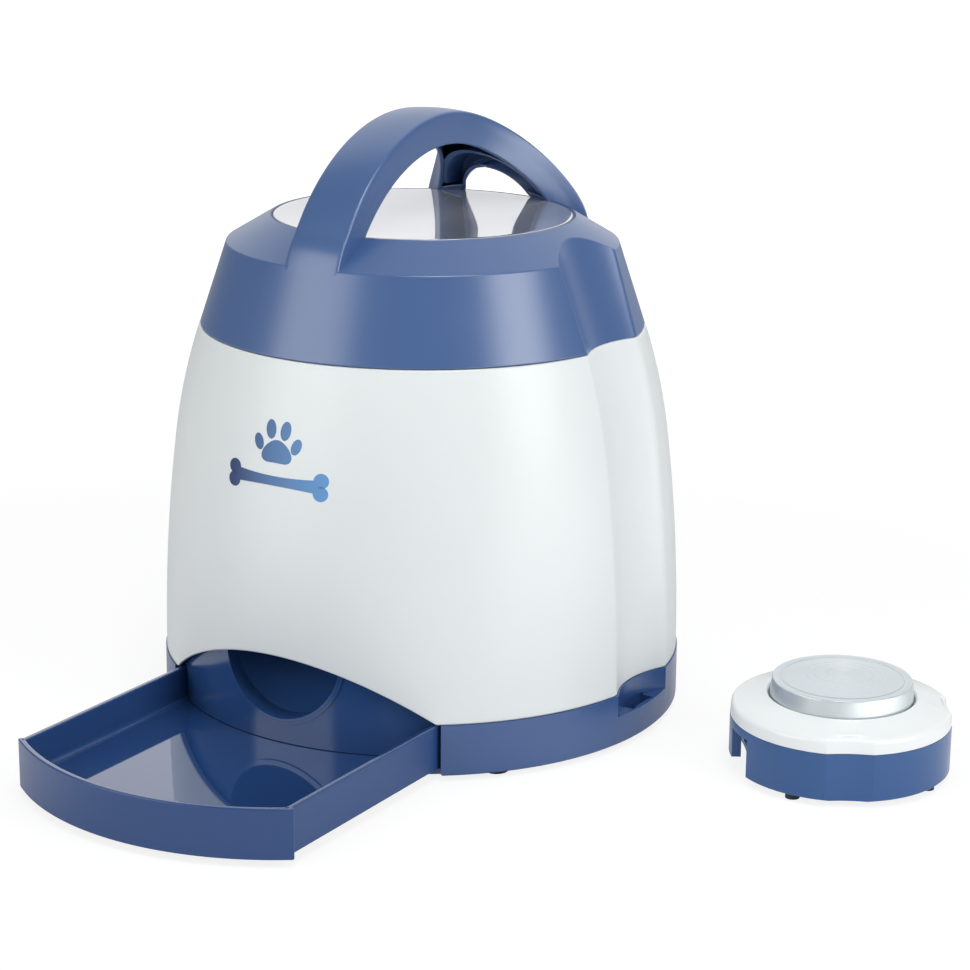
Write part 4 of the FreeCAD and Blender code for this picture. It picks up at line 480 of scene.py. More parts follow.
def full_turn(step, *bands):
    """A column of angles once round, at a step in degrees, with finer bands."""
    return dense(-180, 180 - step, step, *bands)[:, None]


def soft_minimum(a, b, width):
    """The smaller of two values, with a parabola that rounds the change over the given width."""
    near = np.maximum(width - np.abs(a - b), 0) / width
    return np.minimum(a, b) - near ** 2 * width / 4


# %% [markdown]
# The white housing is one injection-moulded shell. Its side is made of two arcs, the lower
# one nearly straight, and its front edge arches over the drawer. On the right side it is
# hollowed by the round niche that the push button docks in. The radius of a point is the
# smaller of the shell's and the niche's, with a soft change from one to the other.

# %% Housing
BASE_TOP, HOUSING_BEND, HOUSING_TOP = 21.5, 107.0, 148.0
FOOT_RADIUS, BEND_RADIUS, TOP_RADIUS = 99.5, 94.0, 84.5
LOWER_ARC, UPPER_ARC = 663.0, 216.0
WALL = 2.4
NICHE_RADIUS, NICHE_DEPTH, NICHE_TOP_DEPTH, NICHE_ROUNDING = 40.8, 6.4, 8.4, 1.3
NO_NICHE = 999.0  # a radius too large to matter
CUT_OUT_RADIUS, CUT_OUT_MIDDLE, CUT_OUT_REACH = 91.6, -49.4, 91.0


def arc_between(height, low, high, bend):
    """Radius at a height on an outward arc of radius bend between two points (radius, height)."""
    across, up = high[0] - low[0], high[1] - low[1]
    depth = math.sqrt(bend ** 2 / (across ** 2 + up ** 2) - 0.25)
    centre = ((low[0] + high[0]) / 2 - up * depth, (low[1] + high[1]) / 2 + across * depth)
    return centre[0] + np.sqrt(bend ** 2 - (height - centre[1]) ** 2)


def housing_side(height):
    """Outside radius of the housing: a long arc up to the bend and a tighter one above."""
    bend = (BEND_RADIUS, HOUSING_BEND)
    lower = arc_between(np.minimum(height, HOUSING_BEND), (FOOT_RADIUS, BASE_TOP), bend, LOWER_ARC)
    upper = arc_between(np.maximum(height, HOUSING_BEND), bend, (TOP_RADIUS, HOUSING_TOP),
                        UPPER_ARC)
    return np.where(height < HOUSING_BEND, lower, upper)


def niche_side(angles, centre, radius):
    """Distance from the axis to an upright round channel whose middle stands on +X.

    Along a ray at angle a it is c cos(a) - sqrt(r^2 - c^2 sin^2(a)), if the ray meets the channel.
    """
    turn_by = np.radians(angles)
    inside = radius ** 2 - (centre * np.sin(turn_by)) ** 2
    hits = (inside > 0) & (np.cos(turn_by) > 0)
    reach = centre * np.cos(turn_by) - np.sqrt(np.maximum(inside, 0))
    return np.where(hits, reach, NO_NICHE)


def arch_edge(x):
    """Height of the arched cut-out over the drawer, and of the base ring outside it."""
    across = np.minimum(np.abs(x), CUT_OUT_REACH)
    return np.maximum(CUT_OUT_MIDDLE + np.sqrt(CUT_OUT_RADIUS ** 2 - across ** 2), BASE_TOP)


niche_bands = [(9.5, 14.5, 0.15), (-14.5, -9.5, 0.15)]  # the niche's edges
arch_bands = [(-128.0, -124.0, 0.4), (-56.0, -52.0, 0.4)]  # the cut-out's ends
angles = full_turn(1.5, *niche_bands, *arch_bands)
RUN = HOUSING_TOP - BASE_TOP
wall_loop = filled(rounded([(0, 0), (0, RUN), (WALL, RUN), (WALL, 0)], [0.7, 0.5, 0.4, 0.5]), 3.0)
inset, rise = wall_loop[:, 0], wall_loop[:, 1]
# the lower edge's height depends on its radius and the radius on the height: a few rounds settle it
low_edge = np.full((len(angles), len(inset)), BASE_TOP)
front = np.sin(np.radians(angles)) < 0
for guess in range(6):
    side = housing_side(low_edge) - inset
    low_edge = np.where(front, arch_edge(side * np.cos(np.radians(angles))), BASE_TOP)
height = low_edge + rise * (HOUSING_TOP - low_edge) / RUN
middle = housing_side(height) - NICHE_DEPTH + NICHE_RADIUS
radius = soft_minimum(housing_side(height) - inset,
                      niche_side(angles, middle, NICHE_RADIUS + inset), NICHE_ROUNDING)
housing = surface("housing_outer_shell", turned(angles, radius, height), abs_white, "base")
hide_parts("housing_shell")
print("housing", len(housing.data.polygons), "faces, wall", WALL, "mm")

# %% [markdown]
# The blue cover is a second shell: a steep wall, a sharp shoulder, a flat slope up to the
# window, and a ledge that the window lies on. The same niche runs up its side, gets deeper,
# and ends in a crisp arc on the slope. One closed outline is turned about the axis, and its
# radius is limited by the niche in the same way as the housing's. On the slope the rows are
# moved so that one of them runs exactly along that arc.

# %% Cover
COVER_LOW, SHOULDER, LEDGE, WINDOW_TOP = 148.2, 179.4, 186.4, 189.2
COVER_RADIUS, SHOULDER_RADIUS, LEDGE_RADIUS = 84.3, 74.0, 54.0
COVER_WALL, ROOF = 2.3, 184.2
LONGEST_RUN, LONGEST_SLOPE_RUN = 2.2, 0.6


def cover_niche(height):
    """Middle of the niche along the cover: a straight line that leans inwards as it rises."""
    low = COVER_RADIUS - NICHE_DEPTH + NICHE_RADIUS
    high = SHOULDER_RADIUS - NICHE_TOP_DEPTH + NICHE_RADIUS
    return low + (height - COVER_LOW) * (high - low) / (SHOULDER - COVER_LOW)


corners = [(COVER_RADIUS, COVER_LOW), (SHOULDER_RADIUS, SHOULDER), (57.5, WINDOW_TOP),
           (57.0, WINDOW_TOP - 0.3), (57.2, LEDGE), (LEDGE_RADIUS, LEDGE), (LEDGE_RADIUS, ROOF),
           (60.5, ROOF), (71.7, 178.0), (82.0, COVER_LOW)]
outline = rounded(corners, [0.5, 1.0, 0.25, 0.1, 0, 0.2, 0.2, 0, 1.0, 0.3])
per_corner = len(outline) // len(corners)
# a third column says how far inside the skin a point lies: the first three corners are outside
outline = np.column_stack([outline, np.repeat([0] * 3 + [COVER_WALL] * 7, per_corner)])
slope_start, slope_end = outline[2 * per_corner - 1], outline[2 * per_corner]
longest = np.full(len(outline), LONGEST_RUN)
longest[2 * per_corner - 1] = LONGEST_SLOPE_RUN
outline = filled(outline, longest)
slope = ((outline[:, 2] == 0) & (outline[:, 1] > slope_start[1])
         & (outline[:, 1] < slope_end[1]))
angles = full_turn(1.5, (-17, 17, 0.25))


def cone_radius(height):
    """Outside radius of the slope between the shoulder and the window."""
    share = (height - slope_start[1]) / (slope_end[1] - slope_start[1])
    return slope_start[0] + share * (slope_end[0] - slope_start[0])


# climb the slope in small steps to where it leaves the niche, then close in on that height
crossing = np.full(angles.shape, slope_start[1])
for guess in range(60):
    beyond = cone_radius(crossing) > niche_side(angles, cover_niche(crossing), NICHE_RADIUS)
    crossing = np.where(beyond, crossing + 0.12, crossing)
for guess in range(8):
    error = cone_radius(crossing) - niche_side(angles, cover_niche(crossing), NICHE_RADIUS)
    crossing = np.where(np.abs(error) < 2.0, crossing + error * 0.5, crossing)
crossing = np.clip(crossing, slope_start[1], slope_end[1] - 0.5)
# half of the slope's rows lie below the crossing, and half above it
share = (outline[:, 1] - slope_start[1]) / (slope_end[1] - slope_start[1])
lower_part = slope_start[1] + (crossing - slope_start[1]) * np.clip(share / 0.5, 0, 1)
upper_part = (slope_end[1] - crossing) * np.clip((share - 0.5) / 0.5, 0, 1)
height = np.where(slope, lower_part + upper_part, outline[:, 1])
full = np.where(slope, cone_radius(height), outline[:, 0])
limit = niche_side(angles, cover_niche(height), NICHE_RADIUS + outline[:, 2])
edge = np.where(outline[:, 1] < SHOULDER + 0.2, 0.6, 0.02)
cover = surface("cover_shell", turned(angles, soft_minimum(full, limit, edge), height), abs_blue,
                "lid")
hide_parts("lid_cover")
ends_at = round(float(crossing.max()), 1)
print("cover", len(cover.data.polygons), "faces; the niche ends", ends_at, "mm up")

# %% Plug skirt under the cover
SKIRT_LOW, SKIRT_TOP, FLANGE_LOW = 139.0, 150.6, 148.6
outline = filled(rounded([(72.9, SKIRT_LOW), (72.9, FLANGE_LOW), (81.9, FLANGE_LOW),
                          (81.9, SKIRT_TOP), (70.9, SKIRT_TOP), (70.9, SKIRT_LOW)],
                         [0.6, 0, 0, 0, 0.5, 0.6]), 4.0)
angles = full_turn(3.0, (-16, 16, 0.5))
niche = niche_side(angles, cover_niche(outline[:, 1]), NICHE_RADIUS + 1.2)
skirt = surface("cover_plug_skirt", turned(angles, np.minimum(outline[:, 0], niche), outline[:, 1]),
                abs_blue, "lid")
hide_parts("lid_cover")

# %% [markdown]
# The handle is a strap cut from the space between two domes. It has one foot in front, and
# behind the axis it flares out into two legs with an arched opening between them. Below it is
# hollow, as moulded handles are, with a skin, two side walls and a curved rib. A half section
# is a closed outline of places given by how deep they lie between the domes and how far out
# they lie between the opening and the side, and it is carried from the front foot to the back.

# %% Handle
OUTER_DOME, INNER_DOME = (80.0, 148.3), (71.0, 145.2)  # radius, and height of the middle
OUTER_SWEEP, INNER_SWEEP = 70.5, 54.0  # degrees from the top to each foot
ARCH_RADIUS, ARCH_HEIGHT, ARCH_GROWTH = 14.7, 185.9, 0.72
ARCH_START, GROWTH_START = 14.0, 53.0
SIDE_WALL, ARCH_WALL, SKIN, EDGE = 2.2, 1.1, 2.8, 0.8
STRAP_HALF, STRAP_TAPER = 10.3, 1.3 / 89.5
FLARE_START, FLARE_RADIUS, FLARE_REACH = 10.0, 60.0, 55.0
WALL_LINE, WALL_LEAN = 84.29, 0.3301  # the cover's wall: radius at the dome's middle, loss per mm
BEND_START, BEND_LENGTH, DIP_START, DIP_LENGTH, DIP_DEPTH = 57.0, 9.5, 67.3, 1.2, 0.2
HOLLOW_END = 0.88  # beyond this share of the way to a foot the handle is solid


def handle_half(y):
    """Half width in plan: a slow taper in front, then a circular flare behind."""
    front_part = STRAP_HALF + (FLARE_START - y) * STRAP_TAPER
    behind = np.clip(y - FLARE_START, 0, FLARE_REACH)
    flare = STRAP_HALF + FLARE_RADIUS - np.sqrt(FLARE_RADIUS ** 2 - behind ** 2)
    return np.where(y < FLARE_START, front_part, flare)


def opening_half(y, z, added):
    """Half width of the round opening at a height, zero above it and in front of the axis.

    Its radius grows outwards from the inner dome, so that the legs keep their width as they flare.
    """
    drop = np.maximum(z - ARCH_HEIGHT, 0)
    radius = ARCH_RADIUS + added + np.maximum(y - GROWTH_START, 0) * ARCH_GROWTH
    return np.where(y > ARCH_START, np.sqrt(np.maximum(radius ** 2 - drop ** 2, 0)), 0.0)


quarter = np.linspace(0, math.pi / 2, 5)
turn_in, turn_out = 1 - np.cos(quarter), 1 - np.sin(quarter)
even = np.linspace(0, 1, 9)
# each place: share of the way out, margin from the side, depth below the skin, height above the
# rim (which replaces the depth, or is -1), and distance from the opening
places = np.concatenate([
    stacked(even, EDGE, 0, -1, 0),
    stacked(1, EDGE * turn_out, EDGE * turn_in, -1, 0),
    [(1, 0, 3.0, -1, 0), (1, 0, 5.0, -1, 0)],
    stacked(1, EDGE * turn_in, 0, EDGE * turn_out, 0),
    [(1, SIDE_WALL - 0.4, 0, 0, 0), (1, SIDE_WALL - 0.1, 0, 0.1, 0), (1, SIDE_WALL, 0, 0.4, 0),
     (1, SIDE_WALL, SKIN + 1.0, -1, 0)],
    stacked(even[::-1], SIDE_WALL, SKIN, -1, ARCH_WALL),
    [(0, 0, 0, 0.3, ARCH_WALL), (0, 0, 0, 0, ARCH_WALL * 0.6), (0, 0, 0, 0.1, 0),
     (0, 0, 5.0, -1, 0), (0, 0, 2.5, -1, 0)],
])
share, margin, below_skin, above_rim, keeps_off = places.T
along = dense(-1.0, 1.0, 0.02, (0.55, 1.0, 0.008), (-1.0, -0.82, 0.006), (0.9, 0.915, 0.004))
along = along[:, None]
outer_turn, inner_turn = np.radians(OUTER_SWEEP) * along, np.radians(INNER_SWEEP) * along
# the front foot leaves the cover's wall along the wall's own line and bends into the dome; the
# bend and the dip into the wall are given in degrees from the top
fore = np.degrees(-outer_turn)
wall_line = WALL_LINE / (WALL_LEAN * np.cos(outer_turn) - np.sin(outer_turn)) - OUTER_DOME[0]
bend = np.clip((fore - BEND_START) / BEND_LENGTH, 0, 1)
dip = np.clip((fore - DIP_START) / DIP_LENGTH, 0, 1)
lift = wall_line * bend ** 2 * (3 - 2 * bend) - DIP_DEPTH * dip ** 2
lift = np.where(fore > BEND_START, lift, 0.0)
dome_gap, middle_gap = OUTER_DOME[0] - INNER_DOME[0], OUTER_DOME[1] - INNER_DOME[1]
thick = dome_gap + middle_gap * np.cos(outer_turn)
depth = np.where(above_rim >= 0, thick - above_rim, below_skin)
solid_end = (np.abs(along) > HOLLOW_END) & (below_skin >= SKIN) & (margin >= SIDE_WALL)
depth = np.where(solid_end, thick - 0.01, np.minimum(depth, thick))
part = depth / thick
turn_by = outer_turn + (inner_turn - outer_turn) * part
dome = OUTER_DOME[0] - dome_gap * part + lift * (1 - part)
middle = OUTER_DOME[1] - middle_gap * part
x = share * 10.0 + 0 * dome
for guess in range(8):
    reach = np.sqrt(dome ** 2 - x ** 2)
    y, z = reach * np.sin(turn_by), middle + reach * np.cos(turn_by)
    opening = opening_half(y, z, keeps_off)
    x = opening + share * (handle_half(y) - margin - opening)
quads = grid_quads(*x.shape, (False, True))
in_middle = np.abs(x.reshape(-1)) < 1e-3
quads = quads[~in_middle[quads].all(axis=1)]
right = stacked(x, y, z).reshape(-1, 3)
left = right * (-1, 1, 1)
handle = skin("carrying_handle", np.concatenate([right, left]),
              np.concatenate([quads, quads[:, ::-1] + len(right)]), abs_blue, "lid")
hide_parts("lid_cover")
print("handle", len(handle.data.polygons), "faces, top at", round(float(z.max()), 1), "mm")

# %% Curved ribs in the handle's hollow
RIB_THICKNESS, RIB_RAISED, RIB_SUNK = 1.6, 0.4, 2.0


def curved_rib(name, radius, spread):
    """A rib round the opening: an arc of a radius about the opening's middle, from rim to skin.

    At angle a it stands at x = r sin(a), z = height + r cos(a), and reaches from the inner dome to
    the underside of the skin, each found from its sphere's equation.
    """
    outer = radius + RIB_THICKNESS
    section = rounded([(radius, 0), (outer, 0), (outer, 1), (radius, 1)], [0.1] * 4, 2)
    turn_by = np.radians(np.linspace(-spread, spread, 60))[:, None]
    x, z = section[:, 0] * np.sin(turn_by), ARCH_HEIGHT + section[:, 0] * np.cos(turn_by)
    low_y = RIB_RAISED + np.sqrt(INNER_DOME[0] ** 2 - x ** 2 - (z - INNER_DOME[1]) ** 2)
    high_y = np.sqrt((OUTER_DOME[0] - RIB_SUNK) ** 2 - x ** 2 - (z - OUTER_DOME[1]) ** 2)
    y = low_y + (high_y - low_y) * section[:, 1]
    rib = surface(name, stacked(x, y, z), abs_blue, "lid", (False, True))
    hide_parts("lid_cover")
    return rib


ribs = [curved_rib("handle_curved_rib", 21.4, 74), curved_rib("handle_short_rib", 27.2, 20)]
print("ribs", [rib.name for rib in ribs])

# %% [markdown]
# The window is a disc of clear, polished styrene, laid into the cover's ledge on a soft
# gasket. Seen this flat it mirrors the white room and the dark legs of the handle. Its face is
# dished by a millimetre, as large flat mouldings sink, and this draws out the mirrored legs.

# %% Window
WINDOW_LOW, WINDOW_RADIUS, FACE_RADIUS, DISH = 186.95, 56.35, 55.0, 1.4
edge = rounded([(FACE_RADIUS, WINDOW_LOW), (WINDOW_RADIUS, WINDOW_LOW),
                (WINDOW_RADIUS, WINDOW_TOP), (FACE_RADIUS, WINDOW_TOP)], [0, 0.2, 0.45, 0])
inner = np.linspace(0.02, 0.98, 12)[:, None] * (FACE_RADIUS, 0)
dished = WINDOW_TOP - DISH * (1 - (inner[:, 0] / FACE_RADIUS) ** 2)
face = np.column_stack([inner[:, 0], dished])
outline = np.concatenate([[(0.0, WINDOW_LOW)], inner + (0, WINDOW_LOW), edge, face[::-1],
                          [(0.0, WINDOW_TOP - DISH)]])
window = surface("clear_window", turned(full_turn(3.0), outline[:, 0], outline[:, 1]),
                 clear_styrene, "lid", (True, False))
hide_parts("window")
print("window", round(2 * float(outline[:, 0].max()), 1), "mm across")

# %% [markdown]
# The drawer is a thin moulded tray that opens to the rear, so the curved wall of the
# dispenser closes it. One section, with two side walls, a floor and small fillets, runs from
# the rear to the front. The front is a curved panel that stands a little beyond the sides, and
# its rounded edges catch the light.

# %% Drawer
DRAWER_WALL, DRAWER_TOP, DRAWER_FLOOR, DRAWER_UNDER, RUNNER_LOW = 2.2, 21.2, 8.2, 6.4, 4.5
DRAWER_REAR, DRAWER_CENTRE, FRONT_RADIUS = -72.0, -89.3, 100.0
FRONT_HALF, FRONT_LOW, FRONT_EDGE = 59.5, 2.9, 0.6
LUG_PLACE, LUG_SIZE = (57.7, -76.0), (1.9, 4.0, 3.4)


def capped(path_share, section, edge, place):
    """A closed bar: its section is carried along a path, and both ends are rounded and closed.

    Each end has rows in which the section draws in by edge (1 - cos a) while it moves on by
    edge sin a, and a last row in which it shrinks to its middle. The function place maps
    (section points, path shares, millimetres beyond the end) to points.
    """
    a = np.linspace(math.pi / 2, 0, 5)
    middle = (section.max(0) + section.min(0)) / 2
    half = (section.max(0) - section.min(0)) / 2
    shares = np.concatenate([[0], 0 * a, path_share, 0 * a + 1, [1]])
    draw_in = np.concatenate([[edge], edge * (1 - np.cos(a)), 0 * path_share,
                              edge * (1 - np.cos(a[::-1])), [edge]])
    shift = np.concatenate([[0], edge - edge * np.sin(a), 0 * path_share + edge,
                            edge - edge * np.sin(a[::-1]), [0]])
    scale = np.maximum(half - draw_in[:, None], 0.01) / half
    scale[0] = scale[-1] = 0.0
    points = middle + (section - middle) * scale[:, None, :]
    sign = np.where(shares < 0.5, 1.0, -1.0)
    return place(points, shares[:, None], (sign * shift)[:, None])


HALF = 58.1
INSIDE = HALF - DRAWER_WALL
section = rounded([(-HALF, RUNNER_LOW), (-HALF, DRAWER_TOP), (-INSIDE, DRAWER_TOP),
                   (-INSIDE, DRAWER_FLOOR), (INSIDE, DRAWER_FLOOR), (INSIDE, DRAWER_TOP),
                   (HALF, DRAWER_TOP), (HALF, RUNNER_LOW), (INSIDE, RUNNER_LOW),
                   (INSIDE, DRAWER_UNDER), (-INSIDE, DRAWER_UNDER), (-INSIDE, RUNNER_LOW)],
                  [0.4, 0.6, 0.6, 1.6, 1.6, 0.6, 0.6, 0.4, 0.4, 0.5, 0.5, 0.4])
section = filled(section, 4.0)
share = np.linspace(0, 1, 24)[:, None]
mid_front = FRONT_RADIUS - DRAWER_WALL / 2
front_line = DRAWER_CENTRE - np.sqrt(mid_front ** 2 - section[:, 0] ** 2)
points = stacked(section[:, 0], DRAWER_REAR + (front_line - DRAWER_REAR) * share, section[:, 1])
body = surface("drawer_walls_and_floor", points, abs_drawer, "tray", (False, True))
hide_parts("tray")


def front_panel(section, share, beyond):
    """Section points (depth, height) carried along the front's arc, from side to side."""
    reach = math.asin(FRONT_HALF / FRONT_RADIUS)
    turn_by = -reach + 2 * reach * share + beyond / FRONT_RADIUS
    radius = FRONT_RADIUS - section[..., 0]
    return stacked(radius * np.sin(turn_by), DRAWER_CENTRE - radius * np.cos(turn_by),
                   section[..., 1])


section = filled(rounded([(0, FRONT_LOW), (0, DRAWER_TOP), (DRAWER_WALL, DRAWER_TOP),
                          (DRAWER_WALL, FRONT_LOW)], [0.6, 0.6, 0.6, 0.4]), 2.0)
front = surface("drawer_front", capped(np.linspace(0, 1, 70), section, FRONT_EDGE, front_panel),
                abs_drawer, "tray", (False, True))
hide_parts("tray")
lug_top = DRAWER_UNDER + LUG_SIZE[2]
section = rounded([(0, DRAWER_UNDER), (LUG_SIZE[0], DRAWER_UNDER), (LUG_SIZE[0], lug_top),
                   (0, lug_top)], [0, 0.3, 0.3, 0], 3)
for side, name in ((-1, "left"), (1, "right")):
    points = capped(np.linspace(0, 1, 4), section, 0.3, lambda section, share, beyond: stacked(
        side * (LUG_PLACE[0] + section[..., 0]), LUG_PLACE[1] + LUG_SIZE[1] * share + beyond,
        section[..., 1]))
    lug = surface("drawer_stop_lug_" + name, points, abs_drawer, "tray",
                  (False, True))
    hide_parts("tray")
print("drawer", len(body.data.polygons) + len(front.data.polygons), "faces")

# %% [markdown]
# The push button is a flat puck. Its white ring slopes gently up to the cap, and three
# hollow grips are cut into its side; the ring's rounded edge follows them. The cap is a
# satin metallised disc: a domed face, turned in fine circles, with a polished bead round it.

# %% Push button ring
BUTTON_TURN = 29.0
GRIP_RADIUS, GRIP_DEPTH = 45.0, 38.4
GRIP_ANGLES, GRIP_REACH = (0, 90, -90), 14.5  # middles in the button's own frame, half width
RING_RADIUS, SLOPE_OUT, SLOPE_IN = 40.0, 37.5, 27.2


def grip_side(angles):
    """Distance from the button's axis to the nearest grip, at angles in its own frame."""
    return np.minimum.reduce([niche_side((angles - middle + 180) % 360 - 180,
                                         GRIP_DEPTH + GRIP_RADIUS, GRIP_RADIUS)
                              for middle in GRIP_ANGLES])


bands = [(m + s - 2.5, m + s + 2.5, 0.25) for m in GRIP_ANGLES for s in (-GRIP_REACH, GRIP_REACH)]
angles = full_turn(1.5, *bands)
corners = [(RING_RADIUS, 20.0), (39.8, 25.1), (SLOPE_IN, 28.8), (26.5, 28.0), (26.5, 26.4),
           (30.0, 26.4), (35.15, 22.2), (35.15, 17.0), (36.55, 17.0), (36.55, 20.0)]
outline = filled(rounded(corners, [0.3, 2.0, 0.8, 0.3, 0.2, 0, 0, 0.2, 0.2, 0], 6), 1.5)
outer = soft_minimum(RING_RADIUS + 0 * angles, grip_side(angles), 0.25)
# the side follows the grips fully, the slope less and less towards the cap, and the inside not
follows = np.clip((outline[:, 0] - SLOPE_IN) / (SLOPE_OUT - SLOPE_IN), 0, 1)
follows = follows * (np.arange(len(outline)) < 0.6 * len(outline))
follows = np.where(outline[:, 1] > 26.5, follows, np.where(outline[:, 0] > 37.0, 1.0, 0.0))
radius = outline[:, 0] - follows * (RING_RADIUS - outer)
ring = surface("push_button_ring", turned(angles + BUTTON_TURN, radius, outline[:, 1],
                                          BUTTON_CENTRE), abs_ring, "button")
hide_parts("button_ring")

# %% Push button cap
CAP_TOP, CAP_FALL, CAP_FACE_RADIUS = 36.6, 1.9, 22.0
bead = rounded([(26.0, 26.1), (25.95, 28.8), (25.2, 34.75), (23.9, 34.35), (22.0, 34.65)],
               [0.2, 0.5, 0.9, 0.5, 0.3], 6)[4:-3]
face = np.linspace(21.5, 0.0, 30)
dome = np.stack([face, CAP_TOP - (face / CAP_FACE_RADIUS) ** 2 * CAP_FALL], axis=-1)
inner = np.array([(0.0, 35.0), (12.0, 34.4), (23.2, 32.6), (24.4, 28.8), (24.4, 26.1)])
outline = np.concatenate([bead, dome, inner])
apart = np.linalg.norm(np.diff(outline, axis=0), axis=1) > 1e-6
outline = outline[np.concatenate([[True], apart])]
cap = surface("push_button_cap", turned(full_turn(2.0), outline[:, 0], outline[:, 1],
                                        BUTTON_CENTRE), brushed_cap, "cap")
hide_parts("button_cap")
print("push button", len(ring.data.polygons) + len(cap.data.polygons), "faces")

# %% [markdown]
# The print on the front is pad printed: a soft pad presses a thin film of ink onto the curved
# side. Here it is a paw over a bone, in one ink that fades from dark to light blue. Each patch
# is a thin closed skin: a grid of places wrapped round the housing, out just above its surface
# and back just below it.

# %% Print
PRINT_MIDDLE = (-2.0, 116.5)
INK_LEVELS = (0.06, -0.03)  # the film's outer face, and its inner face, sunk in the wall
BONE_HEIGHT, BONE_HALF, BONE_WAIST, BONE_FLARE = -10.4, 18.5, 1.7, 0.8
KNOB_PLACE, KNOB_SIZE = (19.2, 2.3), (3.0, 2.7)  # from the bone's middle; half sizes
TOES = [((-8.2, 2.6), (2.0, 3.0), 24), ((-3.2, 7.6), (2.2, 3.4), 8),
        ((3.2, 7.6), (2.2, 3.4), -8), ((8.2, 2.6), (2.0, 3.0), -24)]  # middle, half sizes, tilt


def faded(name, x_low, x_high, colours, settings):
    """A finish that fades between two colours, from one x to another in mm."""
    material, tree = new_material(name)
    parts = add_node(tree, "SeparateXYZ", links={"Vector": object_place(tree)})
    fade = ramp(tree, parts.outputs["X"], (x_low * MM, 0.0), (x_high * MM, 1.0))
    tint = mixed_colour(tree, fade, *[linear(colour) for colour in colours])
    close_tree(tree, add_node(tree, "BsdfPrincipled", settings, {"Base Color": tint}))
    return material


def printed(name, across, up, lift, wrap=(False, True)):
    """A patch of ink: places in a plane laid round the housing, the angle being x / radius."""
    level = PRINT_MIDDLE[1] + up
    radius = housing_side(level) + lift
    turn_by = np.degrees((PRINT_MIDDLE[0] + across) / radius) - 90
    patch = surface(name, turned(turn_by, radius, level), pad_ink, "base", wrap)
    patch.data.shade_flat()  # so that the film's thin edge doesn't shade it like a cushion
    return patch


def pad(name, middle, size, tilt, taper=0.0, hollow=0.0):
    """A rounded pad: half sizes times (cos a, sin a), narrower above and hollowed below."""
    share = np.r_[np.linspace(0, 1, 8), np.linspace(1, 0, 8)][:, None]
    angle = np.linspace(0, 2 * math.pi, 60, endpoint=False)
    across = share * size[0] * np.cos(angle) * (1 - taper * np.sin(angle))
    up = share * size[1] * (np.sin(angle) + hollow * np.maximum(-np.sin(angle), 0) ** 6)
    lean = math.radians(tilt)
    return printed(name, middle[0] + across * math.cos(lean) - up * math.sin(lean),
                   middle[1] + across * math.sin(lean) + up * math.cos(lean),
                   np.repeat(INK_LEVELS, 8)[:, None])


pad_ink = faded("pad_printing_ink_faded", -22, 20, ("#1B3468", "#5E97CF"),
                {"Roughness": 0.4, "IOR": 1.5})
prints = [pad("print_paw_heel", (0, -0.5), (6.4, 4.6), 0, 0.28, 0.25)]
prints += [pad(f"print_paw_toe_{count + 1}", *toe) for count, toe in enumerate(TOES)]

# the bone: a straight bar, slightly waisted, between two round knobs at each end
s, t = np.r_[-1, np.linspace(-1, 1, 41), 1], np.r_[-1:1:5j, 1:-1:5j][:, None]
full = np.r_[0, np.ones(41), 0]  # the first and last column shrink to a point, closing the ends
bone_half = BONE_WAIST + BONE_FLARE * s ** 2
prints.append(printed("print_bone_bar", BONE_HALF * s + 0 * t, BONE_HEIGHT + full * t * bone_half,
                      full * np.repeat(INK_LEVELS, 5)[:, None], (True, False)))
for count, (side, rise) in enumerate([(-1, 1), (-1, -1), (1, 1), (1, -1)]):
    middle = (side * KNOB_PLACE[0], BONE_HEIGHT + rise * KNOB_PLACE[1])
    prints.append(pad(f"print_bone_knob_{count + 1}", middle, KNOB_SIZE, 0))
for patch in prints:
    volume = sum(face.area * face.normal.dot(face.center) for face in patch.data.polygons) / 3
    print(patch.name, "ink", round(volume / MM ** 3, 2), "mm3")

# %% [markdown]
# The mouth behind the drawer has a raised, rounded lip, so that treats don't catch on an edge.
# It is a thin tube that is bent round a circle and laid on the curved wall.

# %% Lip round the mouth
MOUTH_HEIGHT, LIP_RADIUS, LIP_THICKNESS, LIP_SUNK = 42.6, 26.0, 0.95, 0.35
WALL_LEVEL, WALL_GAP = 52.0, 0.21
wall_radius = float(housing_side(WALL_LEVEL)) - WALL - WALL_GAP
turn_by = np.radians(np.linspace(172, 368, 97))[:, None]
around = np.radians(np.arange(0, 360, 30.0))
reach = LIP_RADIUS + LIP_THICKNESS * np.cos(around)
x, z = reach * np.cos(turn_by), MOUTH_HEIGHT + reach * np.sin(turn_by)
y = LIP_SUNK - np.sqrt(wall_radius ** 2 - x ** 2) - LIP_THICKNESS * np.sin(around)
lip = surface("mouth_lip", stacked(x, y, z), abs_blue_deep, "base", (False, True))
print("lip", len(lip.data.polygons), "faces")

# %% [markdown]
# The remaining pieces keep the shape that they have in the frame, and only need a finish.
# Inside the toy the usual materials are at work: acetal gears, a frosted polypropylene hopper,
# zinc plated screws, green circuit boards, and rubber and silicone where it grips or seals.

# %% Metals, boards and battery film
TRACK_MM = 9  # spacing of the tracks on a circuit board
FILM_COLOURS = ("#23262B", "#B4713C")  # dark, with a copper-coloured band towards one end
FILM = {"Roughness": 0.25, "IOR": 1.54, "Metallic": 0.3}


